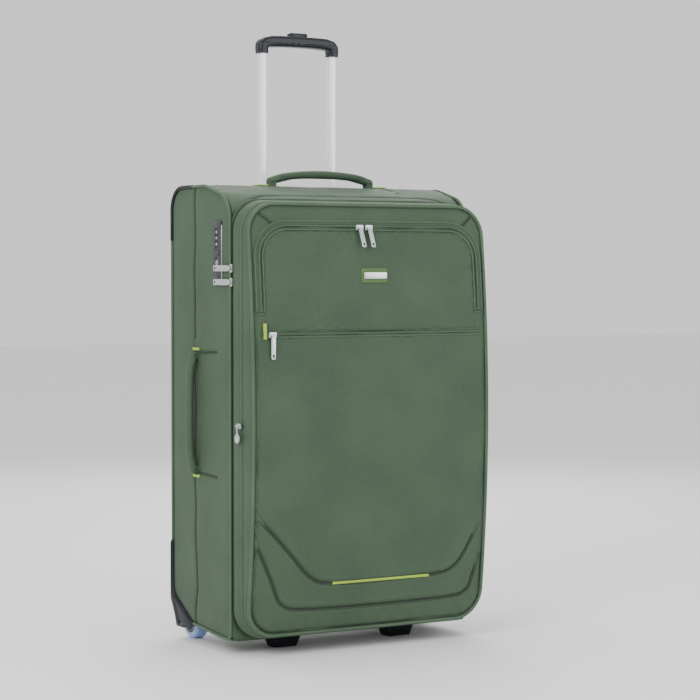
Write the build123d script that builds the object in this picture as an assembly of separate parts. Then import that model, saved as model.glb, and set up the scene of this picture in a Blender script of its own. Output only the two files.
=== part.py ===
from build123d import *
import os

# Softside upright suitcase with two wheels, a pull-out handle and an expanding lid.
#
# Case frame, in millimetres: x = 0 is the case's middle, y = 0 is halfway between the lid's
# front and the rear face, z = 0 is the floor. The front is -Y, and the left side, with the
# lock and the side handle, is -X. The last lines move everything to the middle of the box.

# Case body
case_width = 460.0
body_depth = 222.0
lid_depth = 74.0
case_top = 782.0
top_front_drop = 24.0
top_slope_run = 92.0
case_bottom = 24.0
bottom_rise = 10.0
chamfer_run = 76.0
chamfer_rise = 43.0
rear_top_radius = 40.0
bottom_radius = 30.0
wall = 4.0
piping = 4.5

# Lid, a rear ring and a front that moves out
seam_bottom = 26.0
seam_top = 756.0
front_bottom = 37.0
front_top = 749.0
lid_corner = 51.0
front_narrowing = 2.0
lid_bow = 24.0
lid_wall = 3.0
zip_half = 4.5
zip_gap = 0.4
lid_ring_depth = 21.5
expansion = 40.0
hinge_length = 590.0
hinge_offset = 7.0
mesh_pocket_width = 400.0
mesh_pocket_height = 380.0
mesh_pocket_depth = 26.0

# Outside pockets
pocket_layer = 3.0
pocket_split = 534.0
pocket_zip_width = 6.0
pocket_inset = 5.0
upper_zip_inset = 15.0
upper_zip_top = 714.0
upper_zip_corner = 48.0
upper_zip_end = 574.0
dome_radius = 1300.0
lower_dome_z = 270.0
lower_dome_rise = 15.0
upper_dome_z = 600.0
upper_dome_rise = 12.0
badge_z = 631.0
dome_margin = 24.0
upper_dome_margin = 30.0

# Pull-out handle
tube_spacing = 140.0
tube_width = 13.0
tube_depth = 16.0
tube_wall = 1.3
outer_tube_wall = 1.5
glide_clearance = 0.2
tube_corner = 3.5
tube_play = 1.5
glide_length = 16.0
bezel_margin = 10.0
tube_rear_gap = 30.0
outer_tube_bottom = 128.0
grip_bottom = 1021.0
grip_height = 33.0
grip_width = 162.0
grip_depth = 26.0
grip_bar = 22.0
collar_width = 21.0
tube_overlap = 100.0
button_travel = 4.0
button_length = 34.0
button_width = 13.0
button_stand = 6.0
rod_diameter = 4.0
housing_depth = 28.0

# Wheels and feet
wheel_radius = 30.0
wheel_width = 24.0
wheel_inset = 26.0
wheel_from_rear = 34.0
hub_radius = 20.0
axle_radius = 3.0
running_clearance = 0.05
well_clearance = 2.5
well_side_gap = 6.0
well_skin = 2.5
housing_width = 62.0
housing_top = 164.0
housing_skin = 3.0
foot_spacing = 226.0
foot_setback = 42.0
foot_width = 62.0
foot_sole_width = 44.0
foot_length = 38.0
foot_sole_length = 30.0

# Carry handles, lock and small fittings
handle_half = 89.0
handle_pin_radius = 3.0
handle_pin_length = 11.0
carry_handle_y = 35.0
side_handle_y = 49.5
side_handle_z = 398.0
lock_y = -30.0
lock_bottom = 615.0
lock_top = 722.0
lock_width = 32.0
lock_stand = 4.0
lock_box_depth = 18.0
dial_radius = 8.6
dial_pitch = 10.2
dial_thickness = 8.0
dial_middle_z = 693.0
spindle_radius = 1.5
lock_button_z = 668.0
lock_key_z = 652.0
key_radius = 4.5
slip = 0.3
main_slider_heights = (643.0, 620.0)
upper_slider_places = (-20.0, -2.0)
lower_slider_x = -193.0
expansion_slider_z = 384.0
upper_pull_lean = 24.0
slider_stand = 5.8
main_pull_size = (58.0, 10.0)
upper_pull_size = (36.0, 8.0)
lower_pull_size = (40.0, 8.0)
pull_thickness = 1.6
disc_radius = 8.0
pull_pin_radius = 0.8
badge_size = (44.0, 11.0)

# Packing straps
strap_z = 420.0
strap_width = 25.0
strap_thickness = 1.6
buckle_half = 34.0

# Places worked out from the sizes above
half_width = case_width / 2
front_y = -(body_depth + lid_depth) / 2
seam_y = front_y + lid_depth
rear_y = seam_y + body_depth
lid_mid_z = (front_top + front_bottom) / 2
bow_radius = (((front_top - front_bottom) / 2) ** 2 + lid_bow ** 2) / (2 * lid_bow)
zip_y = seam_y - zip_half
lid_ring_y = zip_y - zip_gap - zip_half
expansion_y = lid_ring_y - lid_ring_depth
front_ring_y = expansion_y - 2 * zip_half + 1.5
tube_y = rear_y - tube_rear_gap
tube_x = tube_spacing / 2
outer_width = tube_width + 2 * tube_play + 2 * outer_tube_wall
outer_depth = tube_depth + 2 * tube_play + 2 * outer_tube_wall
grip_top = grip_bottom + grip_height
handle_travel = grip_bottom - case_top - 2.5
wheel_x = half_width - wheel_inset
wheel_y = rear_y - wheel_from_rear
hinge_x = half_width + hinge_offset
hinge_y = zip_y + zip_gap
lock_box_half = dial_radius + 2.4
lock_box_bottom = lock_bottom + 7
lock_box_top = lock_top - 6
lock_face_x = -half_width - lock_stand
dial_x = lock_face_x + dial_radius - 0.8

nodes = {}


def block(x0, x1, y0, y1, z0, z1):
    """A plain block between two corners."""
    return Pos((x0 + x1) / 2, (y0 + y1) / 2, (z0 + z1) / 2) * Box(x1 - x0, y1 - y0, z1 - z0)


def rod_x(radius, x0, x1, y, z):
    """A round bar along X."""
    return Pos((x0 + x1) / 2, y, z) * Rot(0, 90, 0) * Cylinder(radius, abs(x1 - x0))


def mirrored(shape):
    """A shape and its copy on the other side of the case, as separate solids."""
    return Compound([*shape.solids(), *mirror(shape, about=Plane.YZ).solids()])


def group(*shapes):
    """Separate solids kept together in one node."""
    return Compound([solid for shape in shapes for solid in shape.solids()])


def body_profile(front_limit, front_radius=0):
    """The body's outline from the side, with its sloping top and cut rear corner."""
    ahead = seam_y - front_limit
    top_drop = top_front_drop * (1 + ahead / top_slope_run)
    bottom_run = rear_y - chamfer_run - seam_y
    points = [
        (front_limit, case_bottom - bottom_rise * ahead / bottom_run),
        (rear_y - chamfer_run, case_bottom + bottom_rise),
        (rear_y, case_bottom + bottom_rise + chamfer_rise),
        (rear_y, case_top),
        (seam_y + top_slope_run, case_top),
        (front_limit, case_top - top_drop),
    ]
    radii = [front_radius / 3, bottom_radius, bottom_radius, rear_top_radius, 60, front_radius]
    line = FilletPolyline(*points, radius=radii, close=True)
    return make_face(line)


def profile_solid(x0, x1, grow=0.0):
    """The side outline drawn through the case from one X to another."""
    face = body_profile(seam_y - 40)
    if grow:
        face = offset(face, amount=grow)
    return Pos(x0, 0, 0) * extrude(Plane.YZ * face, amount=x1 - x0, dir=(1, 0, 0))


def behind_seam():
    """Everything behind the plane where the body meets the lid's zip."""
    return block(-400, 400, seam_y, 400, -100, 1200)


def lid_envelope(inset=0.0):
    """The lid's tapering outline, long enough for every ring that is cut from it."""
    far_y = front_y - 30
    share = (seam_y - far_y) / lid_depth
    sections = []
    for y, along in ((seam_y, 0.0), (far_y, share)):
        bottom = seam_bottom + (front_bottom - seam_bottom) * along + inset
        top = seam_top + (front_top - seam_top) * along - inset
        width = case_width - 2 * front_narrowing * along - 2 * inset
        outline = RectangleRounded(width, top - bottom, lid_corner - inset)
        sections.append(Plane.XZ.offset(-y) * Pos(0, (top + bottom) / 2) * outline)
    return loft(sections)


def between(y_back, y_front):
    """A slab between two depths."""
    return block(-400, 400, y_front, y_back, -100, 1000)


def bow(forward=0.0):
    """Everything behind the lid's bowed front, moved forward by a given amount."""
    barrel = Rot(0, 90, 0) * Cylinder(bow_radius + forward, 2 * case_width)
    return Pos(0, front_y + bow_radius, lid_mid_z) * barrel


def bow_y(z, forward=0.0):
    """Depth of the bowed front at a height."""
    reach = bow_radius + forward
    return front_y + bow_radius - (reach ** 2 - (z - lid_mid_z) ** 2) ** 0.5


# Body walls, wire and piping

def make_walls():
    """Side panels and the top, bottom and rear walls between them."""
    inner = half_width - wall
    side = profile_solid(-half_width, -inner) & behind_seam()
    lock_hole = block(
        -half_width - 1, -inner + 1, lock_y - lock_box_half - slip, lock_y + lock_box_half + slip,
        lock_box_bottom - slip, lock_box_top + slip)
    nodes["side_panel_left"] = side - lock_hole
    nodes["side_panel_right"] = mirror(side, about=Plane.YZ)
    band = profile_solid(-inner, inner) - profile_solid(-inner, inner, grow=-wall)
    band &= behind_seam()
    low_split = case_bottom + bottom_rise + chamfer_rise + 30
    high_split = case_top - rear_top_radius - 6
    top = band & block(-400, 400, seam_y - 1, 400, high_split, 1000)
    nodes["top_panel"] = top - handle_housing_box(slip)
    bottom = band & block(-400, 400, seam_y - 1, 400, -100, low_split)
    nodes["bottom_panel"] = bottom - well_arch()
    rear = band & block(-400, 400, rear_y - wall - 1, 400, low_split, high_split)
    nodes["back_panel"] = rear


def make_piping():
    """Round cord sewn along the edge of each side panel, kept square in section."""
    outline = body_profile(seam_y, 45)
    ring = outline - offset(outline, amount=-piping)
    cord = Pos(half_width, 0, 0) * extrude(Plane.YZ * ring, amount=piping, dir=(1, 0, 0))
    nodes["side_piping"] = mirrored(cord)


def make_wire():
    """Spring steel wire that keeps the front opening square."""
    radius = 2.0
    y = seam_y + 8
    x = half_width - wall - radius - 0.4
    low = seam_bottom + wall + radius + 0.8
    high = seam_top - wall - radius - 0.8
    line = Plane.XZ.offset(-y) * RectangleRounded(2 * x, high - low, 20)
    line = Pos(0, 0, (high + low) / 2) * line
    outer = offset(line, amount=radius)
    inner = offset(line, amount=-radius)
    ring = extrude(outer - inner, amount=radius, both=True)
    nodes["opening_wire"] = fillet(ring.edges(), radius * 0.9)


def make_corner_guards():
    """Black skid corners round the two top rear corners."""
    skin = profile_solid(150, half_width + 1, grow=housing_skin) - profile_solid(150, half_width + 1)
    guard = skin & block(0, 400, rear_y - 82, 400, case_top - 95, 1000)
    nodes["corner_guards"] = mirrored(guard)


# Wheels, housings and feet

def well_arch():
    """Round covers of both wheel wells, where they reach into the case."""
    radius = wheel_radius + well_clearance + well_skin
    inner_end = wheel_x - wheel_width / 2 - well_side_gap - well_skin
    arch = rod_x(radius, inner_end, half_width - wall, wheel_y, wheel_radius)
    return arch + mirror(arch, about=Plane.YZ)


def make_wheel_housings():
    """Black moulded housings that wrap the cut rear corners and carry the axles."""
    low = case_bottom + bottom_rise
    outer_x = half_width + piping + 1
    points = [
        (rear_y - 4, housing_top + 10), (rear_y + housing_skin, housing_top),
        (rear_y + housing_skin, low + 34), (rear_y - 13, low + 8),
        (rear_y - 21, low - 12), (rear_y - 50, low - 12),
        (rear_y - chamfer_run - 4, low - 2), (rear_y - 40, low + 30),
    ]
    block_face = make_face(FilletPolyline(*points, radius=2.0, close=True))
    outer = extrude(Plane.YZ * block_face, amount=housing_width, dir=(1, 0, 0))
    outer = Pos(outer_x - housing_width, 0, 0) * outer
    outer -= profile_solid(0, 400)
    housing = outer + (well_arch() & profile_solid(0, 400))
    well = rod_x(wheel_radius + well_clearance, wheel_x - wheel_width / 2 - 4,
                 wheel_x + wheel_width / 2 + 4, wheel_y, wheel_radius)
    opening = block(wheel_x - wheel_width / 2 - 4, wheel_x + wheel_width / 2 + 4,
                    wheel_y - wheel_radius - well_clearance, wheel_y + wheel_radius + well_clearance,
                    -20, wheel_radius)
    housing = housing - well - opening
    housing -= rod_x(axle_radius, 0, 400, wheel_y, wheel_radius)
    housing = max(housing.solids(), key=lambda solid: solid.volume)
    nodes["wheel_housings"] = mirrored(housing)
    axle = rod_x(axle_radius, wheel_x - wheel_width / 2 - 7, half_width + 3, wheel_y, wheel_radius)
    nodes["wheel_axles"] = mirrored(axle)


def make_wheels():
    """Soft tyres on hard hubs that turn on the axles."""
    half = wheel_width / 2
    for side, name in ((1, "right"), (-1, "left")):
        x = side * wheel_x
        tyre = rod_x(wheel_radius, x - half, x + half, wheel_y, wheel_radius)
        tyre = fillet(tyre.edges(), 5)
        seat = rod_x(hub_radius, x - half - 1, x + half + 1, wheel_y, wheel_radius)
        nodes[f"wheel_tyre_{name}"] = tyre - seat
        hub = rod_x(hub_radius, x - half + 1, x + half - 1, wheel_y, wheel_radius)
        hub -= rod_x(hub_radius - 5, x + half - 3, x + half, wheel_y, wheel_radius)
        hub -= rod_x(hub_radius - 5, x - half, x - half + 3, wheel_y, wheel_radius)
        hub -= rod_x(axle_radius + running_clearance, x - half, x + half, wheel_y, wheel_radius)
        nodes[f"wheel_hub_{name}"] = hub


def make_feet():
    """Two tapered feet that level the case with its wheels."""
    y = seam_y + foot_setback
    sole = Pos(foot_spacing / 2, y, 0) * RectangleRounded(foot_sole_width, foot_sole_length, 5)
    root = Pos(foot_spacing / 2, y, case_bottom) * RectangleRounded(foot_width, foot_length, 6)
    foot = loft([sole, root])
    top = Pos(foot_spacing / 2, y, case_bottom) * RectangleRounded(foot_width, foot_length, 6)
    foot += extrude(top, amount=8)
    foot -= profile_solid(0, 400)
    nodes["front_feet"] = mirrored(foot)


# Pull-out handle

def tube(width, depth, thickness, z0, z1):
    """A rounded box tube standing at the right hand pull-out position."""
    outer = Pos(tube_x, tube_y, z0) * RectangleRounded(width, depth, tube_corner)
    inner = Pos(tube_x, tube_y, z0) * RectangleRounded(
        width - 2 * thickness, depth - 2 * thickness, tube_corner - thickness)
    return extrude(outer - inner, amount=z1 - z0)


def handle_housing_box(clearance):
    """The space that the top housing of the pull-out handle fills."""
    half = grip_width / 2 + bezel_margin + clearance
    deep = housing_depth / 2 + clearance
    return block(-half, half, tube_y - deep, tube_y + deep, case_top - 60, case_top + 20)


def make_trolley_base():
    """Fixed tubes, their top housing, bottom bracket and the cover over them."""
    socket_top = case_top - 10
    fixed = tube(outer_width, outer_depth, outer_tube_wall, outer_tube_bottom, socket_top)
    nodes["outer_tubes"] = mirrored(fixed)
    half = grip_width / 2 + bezel_margin
    deep = housing_depth / 2
    top = block(-half, half, tube_y - deep, tube_y + deep, case_top - 16, case_top + 2)
    top &= profile_solid(-half, half, grow=1.5)
    for side in (-1, 1):
        hole = Pos(side * tube_x, tube_y, case_top) * Box(tube_width + 0.6, tube_depth + 0.6, 60)
        seat = Pos(side * tube_x, tube_y, socket_top - 15) * RectangleRounded(
            outer_width, outer_depth, tube_corner)
        top -= hole
        top -= extrude(seat, amount=15)
    nodes["trolley_top_housing"] = top
    bracket = block(-tube_x - 15, tube_x + 15, tube_y - 13, rear_y - wall, outer_tube_bottom - 10,
                    outer_tube_bottom + 14)
    for side in (-1, 1):
        seat = Pos(side * tube_x, tube_y, outer_tube_bottom) * RectangleRounded(
            outer_width, outer_depth, tube_corner)
        bracket -= extrude(seat, amount=20)
    nodes["trolley_bottom_bracket"] = bracket
    cover_half = tube_x + 20
    low, high = outer_tube_bottom - 8, case_top - 46
    cover = block(-cover_half, cover_half, tube_y - 17, rear_y - wall, low, high)
    cover -= block(-cover_half + 2, cover_half - 2, tube_y - 15, rear_y, low - 1, high + 1)
    nodes["trolley_cover"] = cover


def make_pull_handle():
    """Sliding tubes with their glides and the two halves of the grip."""
    low = case_top - tube_overlap
    seat_top = grip_top - 17
    sliding = tube(tube_width, tube_depth, tube_wall, low, seat_top)
    nodes["inner_tubes"] = mirrored(sliding)
    bore_width = outer_width - 2 * outer_tube_wall - 2 * glide_clearance
    bore_depth = outer_depth - 2 * outer_tube_wall - 2 * glide_clearance
    glide = Pos(tube_x, tube_y, low - glide_length) * RectangleRounded(bore_width, bore_depth, 2)
    glide = extrude(glide, amount=glide_length)
    plug = Pos(tube_x, tube_y, low) * RectangleRounded(
        tube_width - 2 * tube_wall, tube_depth - 2 * tube_wall, tube_corner - tube_wall)
    nodes["tube_glides"] = mirrored(glide + extrude(plug, amount=8))
    half = grip_width / 2
    bar = block(-half, half, tube_y - grip_depth / 2, tube_y + grip_depth / 2,
                grip_top - grip_bar, grip_top)
    bar = fillet(bar.edges().filter_by(Axis.Y), 8)
    collars = [
        block(side * half - (collar_width if side > 0 else 0),
              side * half + (0 if side > 0 else collar_width),
              tube_y - grip_depth / 2 + 1, tube_y + grip_depth / 2 - 1,
              grip_bottom, grip_top - 12)
        for side in (-1, 1)]
    grip = bar + collars[0] + collars[1]
    for side in (-1, 1):
        seat = Pos(side * tube_x, tube_y, grip_bottom - 1) * RectangleRounded(
            tube_width, tube_depth, tube_corner)
        grip -= extrude(seat, amount=grip_height - 15)
    split = grip_top - 14
    cavity = block(-half + 6, half - 6, tube_y - 8.5, tube_y + 8.5, split - 2, grip_top - 4)
    slot = block(-button_length / 2 - slip, button_length / 2 + slip,
                 tube_y - button_width / 2 - slip, tube_y + button_width / 2 + slip,
                 split, grip_top + 5)
    grip = grip - cavity - slot
    nodes["grip_lower"] = grip & block(-400, 400, 0, 400, 900, split)
    nodes["grip_upper"] = grip & block(-400, 400, 0, 400, split, 1200)


def make_release_button():
    """Button in the grip and the push rods that it drives down both tubes."""
    low = grip_top - 7
    cap = block(-button_length / 2, button_length / 2, tube_y - button_width / 2,
                tube_y + button_width / 2, low, grip_top + button_stand)
    cap = fillet(cap.edges().group_by(Axis.Z)[-1], 3)
    flange = block(-button_length / 2 - 3, button_length / 2 + 3, tube_y - 8, tube_y + 8,
                   low - 2, low)
    button = cap + flange
    bridge = block(-tube_x - 4, tube_x + 4, tube_y - 4, tube_y + 4, low - 4.5, low - 2)
    bottom = case_top - tube_overlap + 8 + button_travel + 1
    length = low - 4.5 - bottom
    for side in (-1, 1):
        bridge += Pos(side * tube_x, tube_y, bottom + length / 2) * Cylinder(rod_diameter / 2, length)
    nodes["release_button"] = button + bridge


# Carry handles

def handle_pad(low_end, low_mid, high_end, high_mid, width):
    """A padded bow that stands on +Z, with its ends at +-handle_half along X."""
    lower = ThreePointArc((-handle_half, low_end), (0, low_mid), (handle_half, low_end))
    upper = ThreePointArc((-handle_half, high_end), (0, high_mid), (handle_half, high_end))
    ends = [Line((side * handle_half, low_end), (side * handle_half, high_end)) for side in (-1, 1)]
    face = make_face([lower, ends[1], upper, ends[0]])
    pad = extrude(Plane.XZ * face, amount=width / 2, both=True)
    return fillet(pad.edges().filter_by(GeomType.CIRCLE), 3.5)


def handle_pins(height):
    """Stub pins on which a carry handle's ends swivel."""
    pins = [rod_x(handle_pin_radius, side * handle_half, side * (handle_half + handle_pin_length), 0,
                  height) for side in (-1, 1)]
    return pins


def handle_anchor(height, plate_width):
    """Sewn-on anchor at a handle's +X end: a flat plate with a raised eye for the pin."""
    start = handle_half + 1.5
    plate = block(start, start + 34, -plate_width / 2, plate_width / 2, 0, 1.8)
    eye = block(start, start + handle_pin_length + 1, -8, 8, 0, height + 6)
    eye = fillet(eye.edges().filter_by(Axis.X).group_by(Axis.Z)[-1], 5)
    bore = rod_x(handle_pin_radius + running_clearance, start - 1, start + handle_pin_length - 1, 0,
                 height)
    return plate + eye - bore


def make_carry_handles():
    """Top and side handles, each between two anchors."""
    top_axis, side_axis = 9.2, 9.0
    top = handle_pad(4.5, 13.0, 14.0, 29.0, 20.0)
    side = handle_pad(4.5, 8.5, 13.5, 21.5, 22.0)
    place_top = Pos(0, carry_handle_y, case_top)
    place_side = Plane(origin=(-half_width, side_handle_y, side_handle_z), x_dir=(0, 0, 1),
                       z_dir=(-1, 0, 0)).location
    for name, pad, axis_height, place in (("carry_handle", top, top_axis, place_top),
                                          ("side_handle", side, side_axis, place_side)):
        bar = pad
        for pin in handle_pins(axis_height):
            bar += pin
        nodes[name] = place * bar
    anchors = []
    for axis_height, place in ((top_axis, place_top), (side_axis, place_side)):
        anchor = handle_anchor(axis_height, 41.0)
        for piece in (anchor, mirror(anchor, about=Plane.YZ)):
            anchors.append(place * piece)
    nodes["handle_anchors"] = group(*anchors)


# Lock with three dials, a button and a key

def make_lock():
    """Lock housing let into the left side, with its dials and release button."""
    face = block(lock_face_x, -half_width, lock_y - lock_width / 2, lock_y + lock_width / 2,
                 lock_bottom, lock_top)
    face = fillet(face.edges().filter_by(Axis.X), 6)
    box = block(-half_width, -half_width + lock_box_depth, lock_y - lock_box_half,
                lock_y + lock_box_half, lock_box_bottom, lock_box_top)
    housing = face + box
    half_stack = 1.5 * dial_pitch + 0.4
    cavity = block(lock_face_x - 1, dial_x + dial_radius + 0.6, lock_y - dial_radius - 0.5,
                   lock_y + dial_radius + 0.5, dial_middle_z - half_stack, dial_middle_z + half_stack)
    cover = block(lock_face_x, lock_face_x + 1.2, lock_y - dial_radius - 1, lock_y + dial_radius + 1,
                  dial_middle_z - half_stack - 1, dial_middle_z + half_stack + 1)
    window = block(lock_face_x - 1, lock_face_x + 2, lock_y - 5.2, lock_y + 5.2,
                   dial_middle_z - half_stack, dial_middle_z + half_stack)
    housing = housing - cavity + (cover - window)
    for turn in (-1, 0, 1):
        z = dial_middle_z + turn * dial_pitch
        dial = Pos(dial_x, lock_y, z) * Cylinder(dial_radius, dial_thickness)
        housing -= Pos(dial_x, lock_y, z) * Cylinder(dial_radius + 0.25, dial_pitch)
        dial -= Pos(dial_x, lock_y, z) * Cylinder(spindle_radius + running_clearance, 2 * dial_pitch)
        nodes[f"lock_dial_{2 - turn}"] = dial
    housing += Pos(dial_x, lock_y, dial_middle_z) * Cylinder(spindle_radius, 2 * half_stack + 6)
    button_hole = block(lock_face_x - 1, -half_width + 8, lock_y - 6 - slip, lock_y + 6 + slip,
                        lock_button_z - 4 - slip, lock_button_z + 4 + slip)
    housing -= button_hole
    nodes["lock_button"] = block(lock_face_x - 0.8, -half_width + 5, lock_y - 6, lock_y + 6,
                                 lock_button_z - 4, lock_button_z + 4)
    key_bore = rod_x(key_radius + running_clearance, lock_face_x - 1, -half_width + 12, lock_y,
                     lock_key_z)
    key = rod_x(key_radius, lock_face_x - 0.4, -half_width + 11, lock_y, lock_key_z)
    key -= block(lock_face_x - 1, lock_face_x + 5, lock_y - 0.6, lock_y + 0.6, lock_key_z - 3,
                 lock_key_z + 3)
    nodes["lock_key_cylinder"] = key
    nodes["lock_housing"] = housing - key_bore


# Lid rings, bowed front, pockets and zips

def lid_ring(inset_out, inset_in, y_back, y_front):
    """A stretch of the lid's wall between two insets and two depths."""
    return (lid_envelope(inset_out) - lid_envelope(inset_in)) & between(y_back, y_front)


def make_main_zip():
    """Two halves of the main zip, round three sides, and the sewn hinge on the fourth."""
    low = lid_mid_z - hinge_length / 2
    high = lid_mid_z + hinge_length / 2
    hinge_side = block(half_width - 30, half_width + 10, front_y, rear_y, low, high)
    nodes["main_zip_case"] = lid_ring(0, wall, seam_y, zip_y) - hinge_side
    nodes["lid_zips"] = lid_ring(0, wall, zip_y - zip_gap, lid_ring_y) - hinge_side
    strip = lid_ring(0.5, wall - 0.5, seam_y - zip_gap, lid_ring_y)
    nodes["hinge_strip"] = strip & block(half_width - 30, half_width + 10, front_y, rear_y, low + 1,
                                         high - 1)


def make_lid_rings():
    """Rear ring of the lid, front ring, both halves of the expansion zip and the gusset."""
    nodes["lid_ring"] = lid_ring(0, lid_wall, lid_ring_y, expansion_y)
    middle = expansion_y - zip_half + 0.75
    rear_half = lid_ring(-1, lid_wall, expansion_y, middle + zip_gap / 2)
    nodes["lid_zips"] = group(nodes["lid_zips"], rear_half)
    nodes["front_zips"] = lid_ring(-1, lid_wall, middle - zip_gap / 2, front_ring_y)
    nodes["front_ring"] = lid_ring(0, lid_wall, front_ring_y, front_y - 20) & bow(-2.5)
    nodes["expansion_gusset"] = lid_ring(lid_wall + 1.2, lid_wall + 2.0, lid_ring_y - 14,
                                         front_ring_y - 3)


def make_front_board():
    """Stiff front of the lid, with its piping and the mesh pocket behind it."""
    nodes["front_board"] = lid_envelope(lid_wall) & (bow() - bow(-lid_wall))
    cord = lid_envelope(-2.5) - lid_envelope(lid_wall)
    nodes["front_piping"] = cord & (bow(2.5) - bow(-2.5)) & between(seam_y, front_y - 20)
    half_w, half_h = mesh_pocket_width / 2, mesh_pocket_height / 2
    z = lid_mid_z + 40
    back = front_y + mesh_pocket_depth
    tray = block(-half_w, half_w, front_y - 1, back, z - half_h, z + half_h)
    hollow = block(-half_w + 2, half_w - 2, front_y - 2, back - 1.5, z - half_h + 2, z + half_h - 2)
    nodes["lid_mesh_pocket"] = (tray - hollow) & bow(-lid_wall)


def upper_outline(grow):
    """The upper pocket's outline, with the two round corners that its zip follows."""
    half = half_width - upper_zip_inset - 9 + grow
    top = upper_zip_top - pocket_zip_width + grow
    low = pocket_split + pocket_zip_width / 2
    points = [(-half, low), (half, low), (half, top), (-half, top)]
    radius = upper_zip_corner + grow
    return make_face(FilletPolyline(*points, radius=[0.5, 0.5, radius, radius], close=True))


def column(face):
    """A front outline drawn through the lid from front to back."""
    return Pos(0, seam_y, 0) * extrude(Plane.XZ * face, amount=lid_depth + 80, dir=(0, -1, 0))


def dome(z, rise, inward=0.0):
    """A shallow ball surface that a filled pocket bulges to."""
    radius = dome_radius - inward
    return Pos(0, front_y - rise + dome_radius, z) * Sphere(radius)


def pocket(outline, inner, z, rise):
    """A pocket's outer panel: a sewn-down edge and a bulging middle with room behind it."""
    edge = outline & (bow(pocket_layer) - bow())
    bulge = (inner & dome(z, rise)) - bow()
    room_outline = inner & block(-half_width + 34, half_width - 34, -400, 0, 0, 1000)
    room = room_outline & dome(z, rise, pocket_layer)
    panel = edge + bulge - room
    return max(panel.solids(), key=lambda solid: solid.volume)


def make_pockets():
    """The two zipped pockets on the lid's front."""
    split_low = pocket_split - pocket_zip_width / 2
    field = lid_envelope(pocket_inset)
    below = block(-400, 400, -400, 0, -100, split_low)
    lower_inner = lid_envelope(pocket_inset + dome_margin) & block(
        -400, 400, -400, 0, -100, split_low - dome_margin)
    nodes["lower_pocket_panel"] = pocket(field & below, lower_inner, lower_dome_z, lower_dome_rise)
    upper = column(upper_outline(0))
    upper_inner = column(upper_outline(-upper_dome_margin)) & block(
        -400, 400, -400, 0, pocket_split + upper_dome_margin, 1000)
    nodes["upper_pocket_panel"] = pocket(upper, upper_inner, upper_dome_z,
                                         upper_dome_rise - bow_y(upper_dome_z) + front_y)
    tape = column(upper_outline(pocket_zip_width)) - upper
    tape &= block(-400, 400, -400, 0, upper_zip_end, 1000)
    tape &= lid_envelope(lid_wall)
    level = block(-half_width + 20, half_width - 20, -400, 0, split_low, split_low + pocket_zip_width)
    layer = bow(pocket_layer - 0.5) - bow()
    nodes["front_zips"] = group(nodes["front_zips"], tape & layer, level & layer)


def make_badge():
    """Plain badge, backed by a patch of the same height, on the upper pocket."""
    surface = dome_front(0, badge_z, upper_dome_z, upper_dome_rise - bow_y(upper_dome_z) + front_y)
    half_w, half_h = badge_size[0] / 2, badge_size[1] / 2
    plate = block(-half_w, half_w, surface - 3.2, surface + 1.5, badge_z - half_h, badge_z + half_h)
    plate = fillet(plate.edges().filter_by(Axis.Y), 2)
    nodes["badge_plate"] = plate - nodes["upper_pocket_panel"]


def dome_front(x, z, dome_z, rise):
    """Depth of a pocket dome's surface at a place."""
    flat = (dome_radius ** 2 - x ** 2 - (z - dome_z) ** 2) ** 0.5
    return front_y - rise + dome_radius - flat


# Zip sliders and their pulls

def slider():
    """Zip slider with its bridge pin at the origin, along X; its zip is on the +Y side."""
    base = block(-7, 7, 2.2, 5.0, -4.4, 4.4)
    base = fillet(base.edges().filter_by(Axis.Y), 2)
    for side in (-1, 1):
        base += block(side * 3.3 - 0.9, side * 3.3 + 0.9, -1.8, 2.2, -2, 2)
    return base + rod_x(pull_pin_radius, -4.2, 4.2, 0, 0)


def pull_tab(length, width):
    """Flat pull that hangs from the bridge pin, with a slot near its free end."""
    eye = rod_x(1.8, -2.1, 2.1, 0, 0)
    half = pull_thickness / 2
    neck = block(-2.1, 2.1, -half, half, -4, 0)
    plate = block(-width / 2, width / 2, -half, half, -length, -3.5)
    plate = fillet(plate.edges().filter_by(Axis.Y), width * 0.3)
    slot = block(-width / 5, width / 5, -1, 1, -length + 3, -length + 8)
    return eye + neck + plate - slot - rod_x(pull_pin_radius + running_clearance, -3, 3, 0, 0)


def ring_pull():
    """Short stem with a round disc, the expansion zip's pull."""
    stem = rod_x(1.8, -2.1, 2.1, 0, 0) + block(-1.6, 1.6, -0.8, 0.8, -14, 0)
    disc = Pos(0, 0, -12 - disc_radius) * Rot(90, 0, 0) * Cylinder(disc_radius, pull_thickness)
    return stem + disc - rod_x(pull_pin_radius + running_clearance, -3, 3, 0, 0)


def make_sliders():
    """Every slider and pull in its place at rest."""
    left = -half_width - 0.2 - slider_stand
    for name, z in zip(("upper", "lower"), main_slider_heights):
        place = Plane(origin=(left, zip_y - zip_gap / 2, z), x_dir=(0, 0, -1), z_dir=(0, -1, 0)).location
        nodes[f"main_slider_{name}"] = place * slider()
        nodes[f"main_pull_{name}"] = place * pull_tab(*main_pull_size)
    zip_mid = expansion_y - zip_half + 0.75
    place = Plane(origin=(left - 1, zip_mid, expansion_slider_z), x_dir=(0, -1, 0),
                  z_dir=(0, 0, 1)).location
    nodes["expansion_slider"] = place * slider()
    nodes["expansion_pull"] = place * ring_pull()
    z = upper_zip_top - pocket_zip_width / 2
    for name, x in zip(("left", "right"), upper_slider_places):
        place = Pos(x, bow_y(z, pocket_layer) - slider_stand, z)
        nodes[f"upper_slider_{name}"] = place * slider()
        nodes[f"upper_pull_{name}"] = place * Rot(-upper_pull_lean, 0, 0) * pull_tab(*upper_pull_size)
    place = Pos(lower_slider_x, bow_y(pocket_split, pocket_layer) - slider_stand, pocket_split)
    nodes["lower_slider"] = place * slider()
    nodes["lower_pull"] = place * pull_tab(*lower_pull_size)


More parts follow.
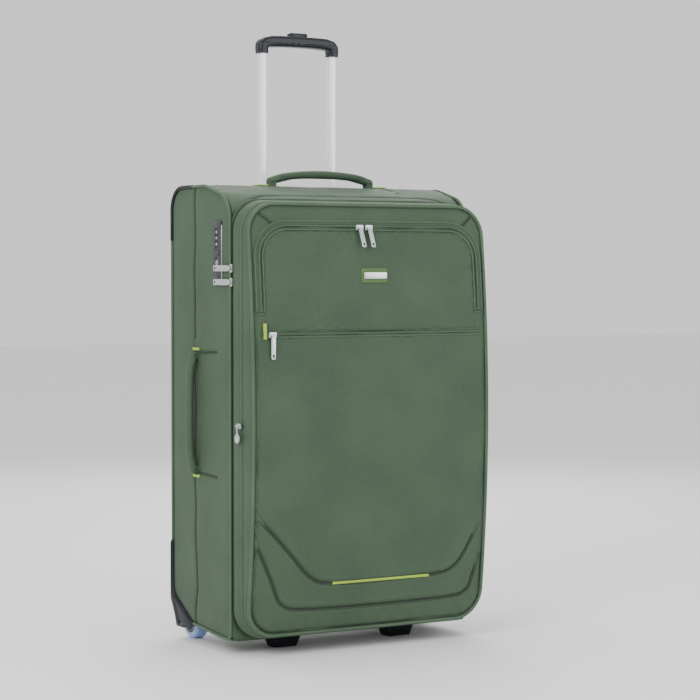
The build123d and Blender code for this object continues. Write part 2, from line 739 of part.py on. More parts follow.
def make_straps():
    """Packing straps across the main compartment, with a side release buckle."""
    y = tube_y - 17
    z = strap_z
    half = strap_width / 2
    inner = half_width - wall
    strap = block(buckle_half, inner, y - strap_thickness, y, z - half, z + half)
    nodes["packing_straps"] = mirrored(strap)
    socket = block(-buckle_half, 8, y - 9, y, z - 15, z + 15)
    socket = fillet(socket.edges().filter_by(Axis.Y), 4) - block(-14, 9, y - 7, y - 2, z - 12, z + 12)
    socket -= block(1 - buckle_half, 8 - buckle_half, y - strap_thickness, y, z - half, z + half)
    plug = block(8.2, buckle_half, y - 8, y, z - 14, z + 14)
    plug = fillet(plug.edges().filter_by(Axis.Y), 4) + block(-12, 9, y - 6, y - 3, z - 9, z + 9)
    nodes["strap_buckle"] = group(socket, plug)


def make_all():
    """Every piece in the order that the case goes together."""
    make_walls()
    make_piping()
    make_wire()
    make_corner_guards()
    make_wheel_housings()
    make_wheels()
    make_feet()
    make_trolley_base()
    make_pull_handle()
    make_release_button()
    make_carry_handles()
    make_lock()
    make_main_zip()
    make_lid_rings()
    make_front_board()
    make_pockets()
    make_badge()
    make_sliders()
    make_straps()


def box_middle():
    """Move that puts the middle of the whole box at x = 0, y = 0, with the soles on z = 0."""
    boxes = [shape.bounding_box() for shape in nodes.values()]
    low_x, high_x = min(b.min.X for b in boxes), max(b.max.X for b in boxes)
    low_y, high_y = min(b.min.Y for b in boxes), max(b.max.Y for b in boxes)
    return (-(low_x + high_x) / 2, -(low_y + high_y) / 2, 0.0)


make_all()
shift = box_middle()
os.makedirs("parts", exist_ok=True)
for node, shape in nodes.items():
    moved = [Pos(*shift) * solid for solid in shape.solids()]
    export_step(moved[0] if len(moved) == 1 else Compound(moved), f"parts/{node}.step")
print(len(nodes), "nodes, moved by", [round(value, 2) for value in shift])
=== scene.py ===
import bpy
import bmesh
import numpy as np
from math import cos, pi, radians, sin
from mathutils import Euler, Matrix, Vector


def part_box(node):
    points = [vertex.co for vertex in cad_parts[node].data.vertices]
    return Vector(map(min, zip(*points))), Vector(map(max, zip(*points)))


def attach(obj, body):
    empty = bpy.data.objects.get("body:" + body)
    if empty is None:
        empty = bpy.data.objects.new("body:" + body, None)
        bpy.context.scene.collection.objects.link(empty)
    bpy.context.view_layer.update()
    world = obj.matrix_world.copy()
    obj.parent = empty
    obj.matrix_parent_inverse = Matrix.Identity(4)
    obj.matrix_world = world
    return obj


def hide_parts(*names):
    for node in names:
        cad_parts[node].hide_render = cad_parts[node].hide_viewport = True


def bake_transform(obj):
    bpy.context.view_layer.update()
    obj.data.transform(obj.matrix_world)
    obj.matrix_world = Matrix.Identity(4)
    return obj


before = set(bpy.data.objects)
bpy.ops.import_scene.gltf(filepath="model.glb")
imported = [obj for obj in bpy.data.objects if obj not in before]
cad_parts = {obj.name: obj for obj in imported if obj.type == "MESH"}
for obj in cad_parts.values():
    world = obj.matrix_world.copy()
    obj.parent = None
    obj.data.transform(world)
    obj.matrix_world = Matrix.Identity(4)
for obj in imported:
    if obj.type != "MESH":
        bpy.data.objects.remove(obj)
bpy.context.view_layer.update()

# Studio: a pale floor under a plain light sky, with a large soft light in front on the left,
# weaker ones on the right, above and behind. The camera looks at the case's left front corner
# through a long lens.

camera_place = Vector((-1.8177, -3.2021, 0.6374))
camera_turn = -30.18
camera_dip = 2.11
camera_lens = 109.4

lens = bpy.data.cameras.new("camera")
lens.lens = camera_lens
lens.sensor_width = 36.0
camera = bpy.data.objects.new("camera", lens)
camera.location = camera_place
camera.rotation_euler = Euler((radians(90.0 - camera_dip), 0.0, radians(camera_turn)))
bpy.context.collection.objects.link(camera)
bpy.context.scene.camera = camera

sky = bpy.data.worlds.new("studio")
sky.use_nodes = True
sky.node_tree.nodes["Background"].inputs["Color"].default_value = (1.0, 1.0, 1.0, 1.0)
sky.node_tree.nodes["Background"].inputs["Strength"].default_value = 1.0
bpy.context.scene.world = sky


def soft_light(name, place, target, size, power):
    """A square area light aimed at a point."""
    light = bpy.data.lights.new(name, "AREA")
    light.size = size
    light.energy = power
    lamp = bpy.data.objects.new(name, light)
    lamp.location = place
    lamp.rotation_euler = (Vector(target) - Vector(place)).to_track_quat("-Z", "Y").to_euler()
    bpy.context.collection.objects.link(lamp)


soft_light("key_light", (-2.6, -1.6, 2.0), (0.0, 0.0, 0.45), 1.6, 62.0)
soft_light("front_light", (1.5, -2.8, 1.3), (0.0, 0.0, 0.45), 1.8, 26.0)
soft_light("top_light", (0.0, 0.4, 2.6), (0.0, 0.0, 0.7), 1.4, 22.0)
soft_light("back_light", (1.4, 2.4, 1.8), (0.0, 0.0, 0.5), 1.6, 30.0)


case_heart = Vector((0.008, 0.02, 0.40))


def piece(name, bm, *materials):
    """A finished mesh as an object at the origin, an open sheet facing away from the case."""
    if any(edge.is_boundary for edge in bm.edges):
        faced = sum(face.normal.dot(face.calc_center_median() - case_heart) * face.calc_area()
                    for face in bm.faces)
        if faced < 0:
            bmesh.ops.reverse_faces(bm, faces=bm.faces)
    mesh = bpy.data.meshes.new(name)
    bm.to_mesh(mesh)
    bm.free()
    for material in materials:
        mesh.materials.append(material)
    mesh.shade_smooth()
    made = bpy.data.objects.new(name, mesh)
    bpy.context.collection.objects.link(made)
    return made


def new_material(name, colour, roughness, **sockets):
    """A material with its Principled shader, and uniform values set on the shader itself."""
    material = bpy.data.materials.new(name)
    material.use_nodes = True
    shader = material.node_tree.nodes["Principled BSDF"]
    shader.inputs["Base Color"].default_value = (*colour, 1.0)
    shader.inputs["Roughness"].default_value = roughness
    for socket, value in sockets.items():
        shader.inputs[socket.replace("_", " ")].default_value = value
    return material, material.node_tree, shader


floor_material = new_material("floor_paint", (0.9, 0.9, 0.9), 0.8)[0]
floor_mesh = bmesh.new()
bmesh.ops.create_grid(floor_mesh, x_segments=2, y_segments=2, size=14.0)
floor = piece("floor", floor_mesh, floor_material)


# Side panels: woven nylon over foam and board, sewn to the top, rear and bottom panels all
# round. A vertical seam joins a rear strip to the main field, and the short seams above and
# below the side handle hold its anchors.

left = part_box("side_panel_left")[0].x
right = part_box("side_panel_right")[1].x
middle = (left + right) / 2
seam_y, rear_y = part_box("side_panel_left")[0].y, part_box("back_panel")[1].y
case_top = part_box("side_panel_left")[1].z
case_bottom = 0.024
bottom_rise = 0.010
chamfer_run, chamfer_rise = 0.076, 0.043
top_drop, slope_run = 0.024, 0.092
rear_radius = 0.040
front_radius = 0.046
low_front_radius = 0.014
low_rear_radius = 0.025
slope_radius = 0.050
cloth_step = 0.003
cloth_rim = 0.003


def group_of(name, inputs, outputs):
    """An empty shader node group with named value inputs and outputs."""
    made = bpy.data.node_groups.new(name, "ShaderNodeTree")
    for title, default in inputs:
        kind = "NodeSocketVector" if default is None else "NodeSocketFloat"
        socket = made.interface.new_socket(title, in_out="INPUT", socket_type=kind)
        if default is not None:
            socket.default_value = default
    for title in outputs:
        made.interface.new_socket(title, in_out="OUTPUT", socket_type="NodeSocketFloat")
    source = made.nodes.new("NodeGroupInput")
    result = made.nodes.new("NodeGroupOutput")
    return made, source, result


def node(tree, kind, links=(), **settings):
    """A node with its settings, inputs given as (socket, value or other output)."""
    made = tree.nodes.new("ShaderNode" + kind)
    for key, value in settings.items():
        setattr(made, key, value)
    for socket, value in links:
        if isinstance(value, bpy.types.NodeSocket):
            tree.links.new(value, made.inputs[socket])
        else:
            made.inputs[socket].default_value = value
    return made


def maths(tree, operation, a, b=0.0, c=0.0):
    """One arithmetic step."""
    return node(tree, "Math", ((0, a), (1, b), (2, c)), operation=operation).outputs[0]


def make_weave_group():
    """Plain weave: crossed yarns along all three axes, so that any side of a panel shows it."""
    made, source, result = group_of(
        "weave", (("Vector", None), ("Yarn pitch", 0.0012)), ("Height", "Shade"))
    turn = maths(made, "DIVIDE", pi, source.outputs["Yarn pitch"])
    axes = node(made, "SeparateXYZ", (("Vector", source.outputs["Vector"]),))
    waves = [maths(made, "SINE", maths(made, "MULTIPLY", axes.outputs[k], turn)) for k in range(3)]
    pairs = [maths(made, "MULTIPLY", waves[a], waves[b]) for a, b in ((0, 2), (1, 2), (0, 1))]
    total = maths(made, "ADD", maths(made, "ADD", pairs[0], pairs[1]), pairs[2])
    height = maths(made, "MULTIPLY_ADD", total, 0.35, 0.5)
    uneven = node(made, "TexNoise", (("Vector", source.outputs["Vector"]), ("Scale", 260.0),
                                     ("Detail", 3.0)))
    shade = maths(made, "ADD", maths(made, "MULTIPLY", height, 0.6),
                  maths(made, "MULTIPLY", uneven.outputs["Fac"], 0.4))
    made.links.new(height, result.inputs["Height"])
    made.links.new(shade, result.inputs["Shade"])
    return made


def make_drift_group():
    """Slow, uneven change over a panel: dye variation and soft creases in the cloth."""
    made, source, result = group_of(
        "drift", (("Vector", None), ("Size", 9.0)), ("Tone", "Creases"))
    tone = node(made, "TexNoise", (("Vector", source.outputs["Vector"]),
                                   ("Scale", source.outputs["Size"]), ("Detail", 2.0)))
    crease = node(made, "TexNoise", (("Vector", source.outputs["Vector"]), ("Scale", 24.0),
                                     ("Detail", 4.0), ("Roughness", 0.6), ("Distortion", 1.6)))
    made.links.new(tone.outputs["Fac"], result.inputs["Tone"])
    made.links.new(crease.outputs["Fac"], result.inputs["Creases"])
    return made


weave_group = make_weave_group()
drift_group = make_drift_group()


def cloth_material(name, dark, light, pitch=0.0012, weave_depth=0.00012, roughness=0.66, sheen=0.06):
    """Dyed woven cloth whose yarns, dye and creases vary over the surface, with painted shade along its
    seams.
    """
    material, tree, shader = new_material(name, light, roughness, Sheen_Weight=sheen,
                                          Sheen_Roughness=0.45, Specular_IOR_Level=0.35)
    shader.inputs["Sheen Tint"].default_value = (0.85, 0.95, 0.85, 1.0)
    place = node(tree, "TexCoord").outputs["Object"]
    weave = node(tree, "Group", node_tree=weave_group)
    drift = node(tree, "Group", node_tree=drift_group)
    for kit in (weave, drift):
        tree.links.new(place, kit.inputs["Vector"])
    weave.inputs["Yarn pitch"].default_value = pitch
    blend = maths(tree, "MULTIPLY_ADD", weave.outputs["Shade"], 0.55,
                  maths(tree, "MULTIPLY", drift.outputs["Tone"], 0.45))
    ramp = node(tree, "ValToRGB", (("Fac", blend),))
    ramp.color_ramp.elements[0].position = 0.22
    ramp.color_ramp.elements[0].color = (*dark, 1.0)
    ramp.color_ramp.elements[1].position = 0.78
    ramp.color_ramp.elements[1].color = (*light, 1.0)
    creases = node(tree, "Bump", (("Height", drift.outputs["Creases"]), ("Distance", 0.0011),
                                  ("Strength", 0.55)))
    # Painted shade: the colour is darkened along the seams and sewn edges, where shade falls in the
    # grooves.
    seam = node(tree, "Attribute", attribute_name="seam").outputs["Fac"]
    shadow = node(tree, "Mix", data_type="RGBA", blend_type="MULTIPLY")
    tree.links.new(maths(tree, "MULTIPLY", seam, 0.9), shadow.inputs["Factor"])
    tree.links.new(ramp.outputs["Color"], shadow.inputs[6])
    shadow.inputs[7].default_value = (0.10, 0.14, 0.10, 1.0)
    tree.links.new(shadow.outputs[2], shader.inputs["Base Color"])
    yarns = node(tree, "Bump", (("Height", weave.outputs["Height"]), ("Distance", weave_depth),
                                ("Strength", 0.9), ("Normal", creases.outputs["Normal"])))
    tree.links.new(yarns.outputs["Normal"], shader.inputs["Normal"])
    return material


shell_cloth = cloth_material("shell_cloth", (0.026, 0.052, 0.027), (0.062, 0.106, 0.060))


def outline(corners, radii, step=0.02):
    """Closed outline in a plane with each corner rounded and its long sides divided."""
    bm = bmesh.new()
    face = bm.faces.new([bm.verts.new((u, v, 0.0)) for u, v in corners])
    for vert, radius in zip(list(face.verts), radii):
        if radius > 0:
            a, b = [(edge.other_vert(vert).co - vert.co) for edge in vert.link_edges]
            reach = radius / np.tan(a.angle(b) / 2)
            bmesh.ops.bevel(bm, geom=[vert], offset=reach, offset_type="OFFSET", affect="VERTICES",
                            segments=10, profile=0.5, material=-1)
    bm.faces.ensure_lookup_table()
    points = [loop.vert.co.xy.copy() for loop in bm.faces[0].loops]
    bm.free()
    divided = []
    for a, b in zip(points, points[1:] + points[:1]):
        parts = max(1, round((b - a).length / step))
        divided += [a.lerp(b, k / parts) for k in range(parts)]
    area = sum(a.x * b.y - b.x * a.y for a, b in zip(divided, divided[1:] + divided[:1]))
    return divided if area > 0 else divided[::-1]


def sheet_inside(points, step=cloth_step, rim=cloth_rim):
    """A fine flat sheet cut to a convex outline, with its edge turned down by the rim."""
    us, vs = [p.x for p in points], [p.y for p in points]
    wide, tall = max(us) - min(us), max(vs) - min(vs)
    bm = bmesh.new()
    bmesh.ops.create_grid(bm, x_segments=round(wide / step), y_segments=round(tall / step), size=0.5)
    bmesh.ops.scale(bm, vec=(wide, tall, 1.0), verts=bm.verts)
    bmesh.ops.translate(bm, vec=((max(us) + min(us)) / 2, (max(vs) + min(vs)) / 2, 0.0), verts=bm.verts)
    for a, b in zip(points, points[1:] + points[:1]):
        side = b - a
        if min(abs(side.x), abs(side.y)) > 1e-6:
            out = Vector((side.y, -side.x, 0.0)).normalized()
            near = [f for f in bm.faces if (f.calc_center_median() - a.to_3d()).dot(out) > -2 * step]
            geom = list({item for f in near for item in (f, *f.edges, *f.verts)})
            bmesh.ops.bisect_plane(bm, geom=geom, dist=1e-6, plane_co=a.to_3d(), plane_no=out,
                                   clear_outer=True)
    edges = [e for e in bm.edges if e.is_boundary]
    lip = bmesh.ops.extrude_edge_only(bm, edges=edges)
    verts = [item for item in lip["geom"] if isinstance(item, bmesh.types.BMVert)]
    bmesh.ops.translate(bm, vec=(0.0, 0.0, -rim), verts=verts)
    bmesh.ops.recalc_face_normals(bm, faces=bm.faces)
    return bm


def edge_distance(u, v, points):
    """How far each place lies inside a convex outline."""
    reach = np.full(len(u), 1e9)
    for a, b in zip(points, points[1:] + points[:1]):
        side = (b - a).normalized()
        reach = np.minimum(reach, (v - a.y) * side.x - (u - a.x) * side.y)
    return reach


def line_distance(u, v, line):
    """Distance from each place to an open line of points."""
    reach = np.full(len(u), 1e9)
    for a, b in zip(line[:-1], line[1:]):
        a, b = np.array(a), np.array(b)
        side = b - a
        along = np.clip(((u - a[0]) * side[0] + (v - a[1]) * side[1]) / (side @ side), 0.0, 1.0)
        reach = np.minimum(reach, np.hypot(u - a[0] - along * side[0], v - a[1] - along * side[1]))
    return reach


# Width of the painted shade along the seams.
seam_shadow = 0.0026


def groove(distance, depth=0.0016, width=0.003):
    """Dip of the cloth at a stitched seam."""
    return -depth * np.exp(-(distance / width) ** 2)


def mould(bm, place, seams=()):
    """Moves a flat sheet's points to where place(u, v, w) puts them, and marks its seams for painted shade.
    """
    flat = np.array([vert.co[:] for vert in bm.verts])
    x, y, z = place(flat[:, 0], flat[:, 1], flat[:, 2])
    if seams:
        seam_shade = bm.verts.layers.float.new("seam")
        near = np.min([line_distance(flat[:, 0], flat[:, 1], line) for line in seams], axis=0)
        for vert, value in zip(bm.verts, np.exp(-(near / seam_shadow) ** 2)):
            vert[seam_shade] = value
    for vert, co in zip(bm.verts, np.column_stack([x, y, z])):
        vert.co = co
    bmesh.ops.recalc_face_normals(bm, faces=bm.faces)


def rim_of(shape):
    """An outline as a closed line."""
    return [p[:] for p in shape] + [shape[0][:]]


def body_corners(front):
    """Corners of the case seen from its side, as (y, z), from the lower front round to the rear."""
    return [
        (front, case_bottom), (rear_y - chamfer_run, case_bottom + bottom_rise),
        (rear_y, case_bottom + bottom_rise + chamfer_rise), (rear_y, case_top),
        (seam_y + slope_run, case_top), (front, case_top - top_drop),
    ]


side_outline = outline(body_corners(seam_y), (low_front_radius, low_rear_radius, low_rear_radius,
                                              rear_radius, slope_radius, front_radius))
side_seam_y = 0.064
side_seam = [(side_seam_y, case_bottom), (side_seam_y + 0.003, 0.06), (side_seam_y - 0.008, 0.10),
             (side_seam_y - 0.005, 0.14), (side_seam_y, 0.20), (side_seam_y, 0.80)]
handle_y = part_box("side_handle")[0].y / 2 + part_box("side_handle")[1].y / 2
handle_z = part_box("side_handle")[0].z / 2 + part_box("side_handle")[1].z / 2
anchor_seams = [[(handle_y - 0.075, handle_z + s * 0.105), (side_seam_y, handle_z + s * 0.101)]
                for s in (-1, 1)]
side_puff = 0.0026


def side_height(y, z):
    """How far the side cloth stands out from its board."""
    inside = edge_distance(y, z, side_outline)
    height = side_puff * (1 - np.exp(-np.maximum(inside, 0) / 0.010))
    height += groove(line_distance(y, z, side_seam), 0.0017, 0.0032)
    for line in anchor_seams:
        height += groove(line_distance(y, z, line), 0.0014, 0.0026)
    ripple = np.sin(z * 47 + np.sin(y * 31)) * np.sin(z * 23 + 1.0)
    height += 0.0006 * ripple * np.clip(inside / 0.03, 0, 1)
    height += 0.0009 * np.exp(-((y - side_seam_y) / 0.02) ** 2) * np.sin(z * 39 + 2.0)
    return height


def side_panel(name, plane_x, out):
    """One side panel, its cloth standing out on the given side."""
    bm = sheet_inside(side_outline)
    mould(bm, lambda y, z, w: (plane_x + out * (side_height(y, z) * (w == 0) + w), y, z),
          [side_seam, *anchor_seams, rim_of(side_outline)])
    return piece(name, bm, shell_cloth)


for name, plane_x, out in (("left", left, -1), ("right", right, 1)):
    panel = side_panel(f"side_cloth_{name}", plane_x, out)
    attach(panel, "case")
    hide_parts(f"side_panel_{name}")


# Piping: cord wrapped in a bias strip of the shell cloth, sewn round both side panels. Its
# flange disappears in the seam beside it.

piping_radius = 0.0026
# Painted highlight: the piping is the shell cloth made lighter, for the light on its round cord.
piping_cloth = cloth_material("piping_cloth", (0.036, 0.068, 0.037), (0.085, 0.140, 0.083),
                              pitch=0.0010)


def tube_along(points, radius, closed=True, sides=8):
    """A round cord through points, as a bmesh."""
    curve = bpy.data.curves.new("path", "CURVE")
    curve.dimensions = "3D"
    curve.bevel_depth = radius
    curve.bevel_resolution = sides // 2 - 2
    curve.use_fill_caps = not closed
    spline = curve.splines.new("POLY")
    spline.points.add(len(points) - 1)
    for point, co in zip(spline.points, points):
        point.co = (*co, 1.0)
    spline.use_cyclic_u = closed
    holder = bpy.data.objects.new("path", curve)
    bpy.context.collection.objects.link(holder)
    mesh = bpy.data.meshes.new_from_object(holder)
    bm = bmesh.new()
    bm.from_mesh(mesh)
    bpy.data.objects.remove(holder)
    bpy.data.curves.remove(curve)
    bpy.data.meshes.remove(mesh)
    bmesh.ops.remove_doubles(bm, verts=bm.verts, dist=1e-6)
    bmesh.ops.recalc_face_normals(bm, faces=bm.faces)
    return bm


def merged(*parts):
    """Several bmeshes as one."""
    whole = bmesh.new()
    for part in parts:
        holder = bpy.data.meshes.new("part")
        part.to_mesh(holder)
        part.free()
        whole.from_mesh(holder)
        bpy.data.meshes.remove(holder)
    return whole


cord_x = 0.0016
cords = [tube_along([(x, p.x, p.y) for p in side_outline], piping_radius)
         for x in (left - cord_x, right + cord_x)]
side_cords = piece("side_piping_cord", merged(*cords), piping_cloth)
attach(side_cords, "case")
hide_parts("side_piping")


# Top, rear and bottom panels: one wrapped band of shell cloth over board, in three pieces. The
# top slopes to the front and rolls down to the lid's round corners; its seams hold the anchors
# of the carry handle.

opening_radius = 0.051
roll_depth = front_radius
roll_width = 0.095
wrap_half = (right - left) / 2 - 0.001
wrap_radii = (0.0, 0.03, 0.03, rear_radius, 0.06, 0.0)


def profile_path(corners, radii):
    """An open, rounded path in the side view with its length along it."""
    points = outline(corners, radii, step=0.01)
    start = min(range(len(points)), key=lambda k: (points[k] - Vector(corners[0])).length)
    points = points[start:] + points[:start]
    run = np.concatenate([[0.0], np.cumsum([(b - a).length for a, b in zip(points, points[1:])])])
    return np.array([p[:] for p in points]), run


loop_corners = body_corners(seam_y)
loop_path, loop_run = profile_path(loop_corners, wrap_radii)
top_start = loop_run[np.argmin(np.hypot(*(loop_path - np.array(loop_corners[5])).T))]
rear_middle = [run for run, p in zip(loop_run, loop_path) if abs(p[0] - rear_y) < 1e-5]
low_join, high_join = min(rear_middle), max(rear_middle)


def on_wrap(u, v, w):
    """Places of the wrapped band: u across the case, v along the profile, w outwards."""
    y = np.interp(v, loop_run, loop_path[:, 0])
    z = np.interp(v, loop_run, loop_path[:, 1])
    small = 0.0005
    dy = np.interp(v + small, loop_run, loop_path[:, 0]) - np.interp(v - small, loop_run, loop_path[:, 0])
    dz = np.interp(v + small, loop_run, loop_path[:, 1]) - np.interp(v - small, loop_run, loop_path[:, 1])
    size = np.hypot(dy, dz) + 1e-12
    return middle + u, y + w * dz / size, z - w * dy / size


def corner_roll(u, y, on_top):
    """Drop of the top panel near the lid's round corners."""
    beside = np.clip((np.abs(u) - (wrap_half + 0.001 - roll_width)) / roll_width, 0, 1)
    across = 1 - np.sqrt(1 - np.minimum(beside, 0.999) ** 2)
    ahead = np.clip(1 - (y - seam_y) / roll_depth, 0, 1)
    along = 1 - np.sqrt(1 - np.minimum(ahead, 0.999) ** 2)
    return on_top * across * along * (front_radius + 0.001)


def wrap_panel(name, v0, v1, height, material, step=cloth_step, seams=()):
    """A stretch of the wrapped band between two lengths along the profile."""
    corners = [(-wrap_half, v0), (wrap_half, v0), (wrap_half, v1), (-wrap_half, v1)]
    bm = sheet_inside(outline(corners, (0, 0, 0, 0)), step=step)

    def place(u, v, w):
        x, y, z = on_wrap(u, v, height(u, v) * (w == 0) + w)
        return x, y, z - corner_roll(u, y, z > 0.4)

    mould(bm, place, seams)
    return piece(name, bm, material)


long_seam = [(-0.2, top_start - 0.004), (-0.165, top_start - 0.020), (-0.10, top_start - 0.024),
             (0.10, top_start - 0.024), (0.165, top_start - 0.020), (0.2, top_start - 0.004)]
handle_seams = [[(-0.155, top_start - 0.105), (-0.06, top_start - 0.098), (0.06, top_start - 0.098),
                 (0.125, top_start - 0.104)],
                [(0.118, top_start - 0.104), (0.128, top_start - 0.055)]]
bezel_low, bezel_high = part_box("trolley_top_housing")
bezel_half = (bezel_high.x - bezel_low.x) / 2
bezel_y = (bezel_low.y + bezel_high.y) / 2
bezel_deep = (bezel_high.y - bezel_low.y) / 2
bezel_margin, bezel_fade, bezel_sink = 0.005, 0.008, 0.0016


def top_height(u, v):
    """Puff, seams and creases of the top panel, which dips under the pull-out handle's bezel."""
    beside = np.minimum(wrap_half - np.abs(u), np.minimum(v - high_join, top_start - v))
    height = 0.0022 * (1 - np.exp(-np.maximum(beside, 0) / 0.010))
    height += groove(line_distance(u, v, long_seam), 0.0018, 0.0034)
    for line in handle_seams:
        height += groove(line_distance(u, v, line), 0.0014, 0.0030)
    height += 0.0006 * np.sin(u * 57 + v * 9) * np.sin(v * 41 + 1.0)
    y = np.interp(v, loop_run, loop_path[:, 0])
    clear = np.maximum(np.abs(u) - bezel_half, np.abs(y - bezel_y) - bezel_deep)
    share = np.clip((clear - bezel_margin) / bezel_fade, 0, 1)
    return height * share - bezel_sink * (1 - share)


def plain_height(u, v):
    """Slight puff of a plain panel."""
    beside = wrap_half - np.abs(u)
    return 0.0016 * (1 - np.exp(-np.maximum(beside, 0) / 0.008)) + 0.0003 * np.sin(u * 31 + v * 17)


top_cloth = wrap_panel("top_cloth", high_join, top_start, top_height, shell_cloth,
                       seams=[long_seam, *handle_seams])
rear_cloth = wrap_panel("rear_cloth", low_join, high_join, plain_height, shell_cloth, 0.006)
bottom_cloth = wrap_panel("bottom_cloth", 0.0, low_join, plain_height, shell_cloth, 0.005)
for cloth, cad in ((top_cloth, "top_panel"), (rear_cloth, "back_panel"), (bottom_cloth, "bottom_panel")):
    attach(cloth, "case")
    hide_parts(cad)


# Front rim of the body: a flat strip of shell cloth round the opening, widest at the corners,
# where the body stands outside the opening's round corners.

lid_bottom, lid_top = 0.026, 0.756
rim_back = 0.0008
rim_depth = 0.004


def skin(rings, closed_ring=True, closed_way=False):
    """A surface through rings of points, each with the same number of points."""
    rows, count = len(rings), len(rings[0])
    wide = count if closed_ring else count - 1
    tall = rows if closed_way else rows - 1
    bm = bmesh.new()
    bmesh.ops.create_grid(bm, x_segments=wide, y_segments=tall, size=0.5)
    for vert in bm.verts:
        column = round((vert.co.x + 0.5) * wide) % count
        row = round((vert.co.y + 0.5) * tall) % rows
        vert.co = rings[row][column]
    bmesh.ops.remove_doubles(bm, verts=bm.verts, dist=1e-7)
    bmesh.ops.recalc_face_normals(bm, faces=bm.faces)
    return bm


def capped(rings):
    """A skin through rings with both its ends filled."""
    bm = skin(rings)
    bmesh.ops.holes_fill(bm, edges=[e for e in bm.edges if e.is_boundary])
    bmesh.ops.recalc_face_normals(bm, faces=bm.faces)
    return bm


def box_outline(half, low, high, low_radius, high_radius, step=0.02):
    """Rounded rectangle as (x, z) points about the case's middle."""
    corners = [(-half, low), (half, low), (half, high), (-half, high)]
    radii = (low_radius, low_radius, high_radius, high_radius)
    return outline(corners, radii, step)


def rim_rings():
    """Outer and inner edge of the rim, cut from the same number of points."""
    half = (right - left) / 2
    outer = box_outline(half - 0.0005, case_bottom + 0.001, case_top - top_drop, 0.010, front_radius)
    inner = box_outline(half - rim_depth, lid_bottom + rim_depth, lid_top - rim_depth, opening_radius,
                        opening_radius)
    count = len(inner)
    turned = [outer[round(k * len(outer) / count) % len(outer)] for k in range(count)]
    return turned, inner


outer_rim, inner_rim = rim_rings()
rim_y = seam_y - rim_back
rim_stations = ((outer_rim, rim_y), (inner_rim, rim_y), (inner_rim, rim_y + rim_depth),
                (outer_rim, rim_y + rim_depth))
rim = piece("body_front_rim", skin([[(middle + p.x, y, p.y) for p in ring] for ring, y in rim_stations],
                                   closed_way=True), shell_cloth)
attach(rim, "case")


# Lining: a thin dark polyester tub inside the body, glued to the boards and sewn in at the
# front opening. A sleeve of the same cloth hides the spring wire round the opening.

lining_gap = 0.0046
sleeve_radius = 0.0028
sleeve_corner = 0.022
lining_cloth = cloth_material("lining_cloth", (0.020, 0.023, 0.022), (0.055, 0.060, 0.058),
                              pitch=0.0009, roughness=0.5, sheen=0.15)


def lining_tub():
    """Open tub that follows the body's outline at a constant gap."""
    corners = body_corners(seam_y - 0.02)
    path = outline(corners, wrap_radii, step=0.03)
    bm = bmesh.new()
    face = bm.faces.new([bm.verts.new((left + lining_gap, p.x, p.y)) for p in path])
    made = bmesh.ops.inset_individual(bm, faces=[face], thickness=lining_gap)
    bmesh.ops.delete(bm, geom=made["faces"], context="FACES")
    face = max(bm.faces, key=lambda f: f.calc_area())
    lifted = bmesh.ops.extrude_face_region(bm, geom=[face])
    verts = [item for item in lifted["geom"] if isinstance(item, bmesh.types.BMVert)]
    bmesh.ops.translate(bm, vec=(right - left - 2 * lining_gap, 0.0, 0.0), verts=verts)
    for height, out in ((0.0, (0.0, -1.0, 0.0)), (0.69, (0.0, -0.084, 0.060))):
        front = (0.0, seam_y if height else seam_y + 0.002, height)
        bmesh.ops.bisect_plane(bm, geom=[*bm.faces, *bm.edges, *bm.verts], plane_co=front, plane_no=out,
                               clear_outer=True)
    bmesh.ops.recalc_face_normals(bm, faces=bm.faces)
    bmesh.ops.solidify(bm, geom=bm.faces, thickness=0.0006)
    return bm


lining = piece("body_lining", lining_tub(), lining_cloth)
lining.data.shade_flat()
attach(lining, "case")

wire_low, wire_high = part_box("opening_wire")
wire_y = (wire_low.y + wire_high.y) / 2
wire_radius = (wire_high.y - wire_low.y) / 2
wire_run = box_outline((wire_high.x - wire_low.x) / 2 - wire_radius, wire_low.z + wire_radius,
                       wire_high.z - wire_radius, sleeve_corner, sleeve_corner)
sleeve = piece("opening_wire_sleeve", tube_along([(middle + p.x, wire_y, p.y) for p in wire_run],
                                                 sleeve_radius), lining_cloth)
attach(sleeve, "case")


# Black mouldings: corner guards, wheel housings, feet, handle housing and bracket. They are
# injection moulded with a fine grain, rounded edges and some rubbed corners.

def make_grain_group():
    """Fine pebbled grain of a mould, with a slower waviness."""
    made, source, result = group_of("grain", (("Vector", None), ("Scale", 900.0)), ("Height", "Patch"))
    fine = node(made, "TexNoise", (("Vector", source.outputs["Vector"]),
                                   ("Scale", source.outputs["Scale"]), ("Detail", 2.0)))
    patch = node(made, "TexNoise", (("Vector", source.outputs["Vector"]), ("Scale", 14.0),
                                    ("Detail", 3.0)))
    made.links.new(fine.outputs["Fac"], result.inputs["Height"])
    made.links.new(patch.outputs["Fac"], result.inputs["Patch"])
    return made


def make_wear_group():
    """Mask of rubbed convex edges, broken up by noise."""
    made, source, result = group_of("edge_wear", (("Vector", None), ("Amount", 0.5)), ("Mask",))
    sharp = node(made, "NewGeometry").outputs["Pointiness"]
    edge = node(made, "MapRange", (("Value", sharp), ("From Min", 0.52), ("From Max", 0.60)))
    rub = node(made, "TexNoise", (("Vector", source.outputs["Vector"]), ("Scale", 60.0),
                                  ("Detail", 4.0)))
    broken = node(made, "MapRange", (("Value", rub.outputs["Fac"]), ("From Min", 0.40),
                                     ("From Max", 0.65)))
    mask = maths(made, "MULTIPLY", maths(made, "MULTIPLY", edge.outputs["Result"],
                                         broken.outputs["Result"]), source.outputs["Amount"])
    made.links.new(mask, result.inputs["Mask"])
    return made


grain_group = make_grain_group()
wear_group = make_wear_group()


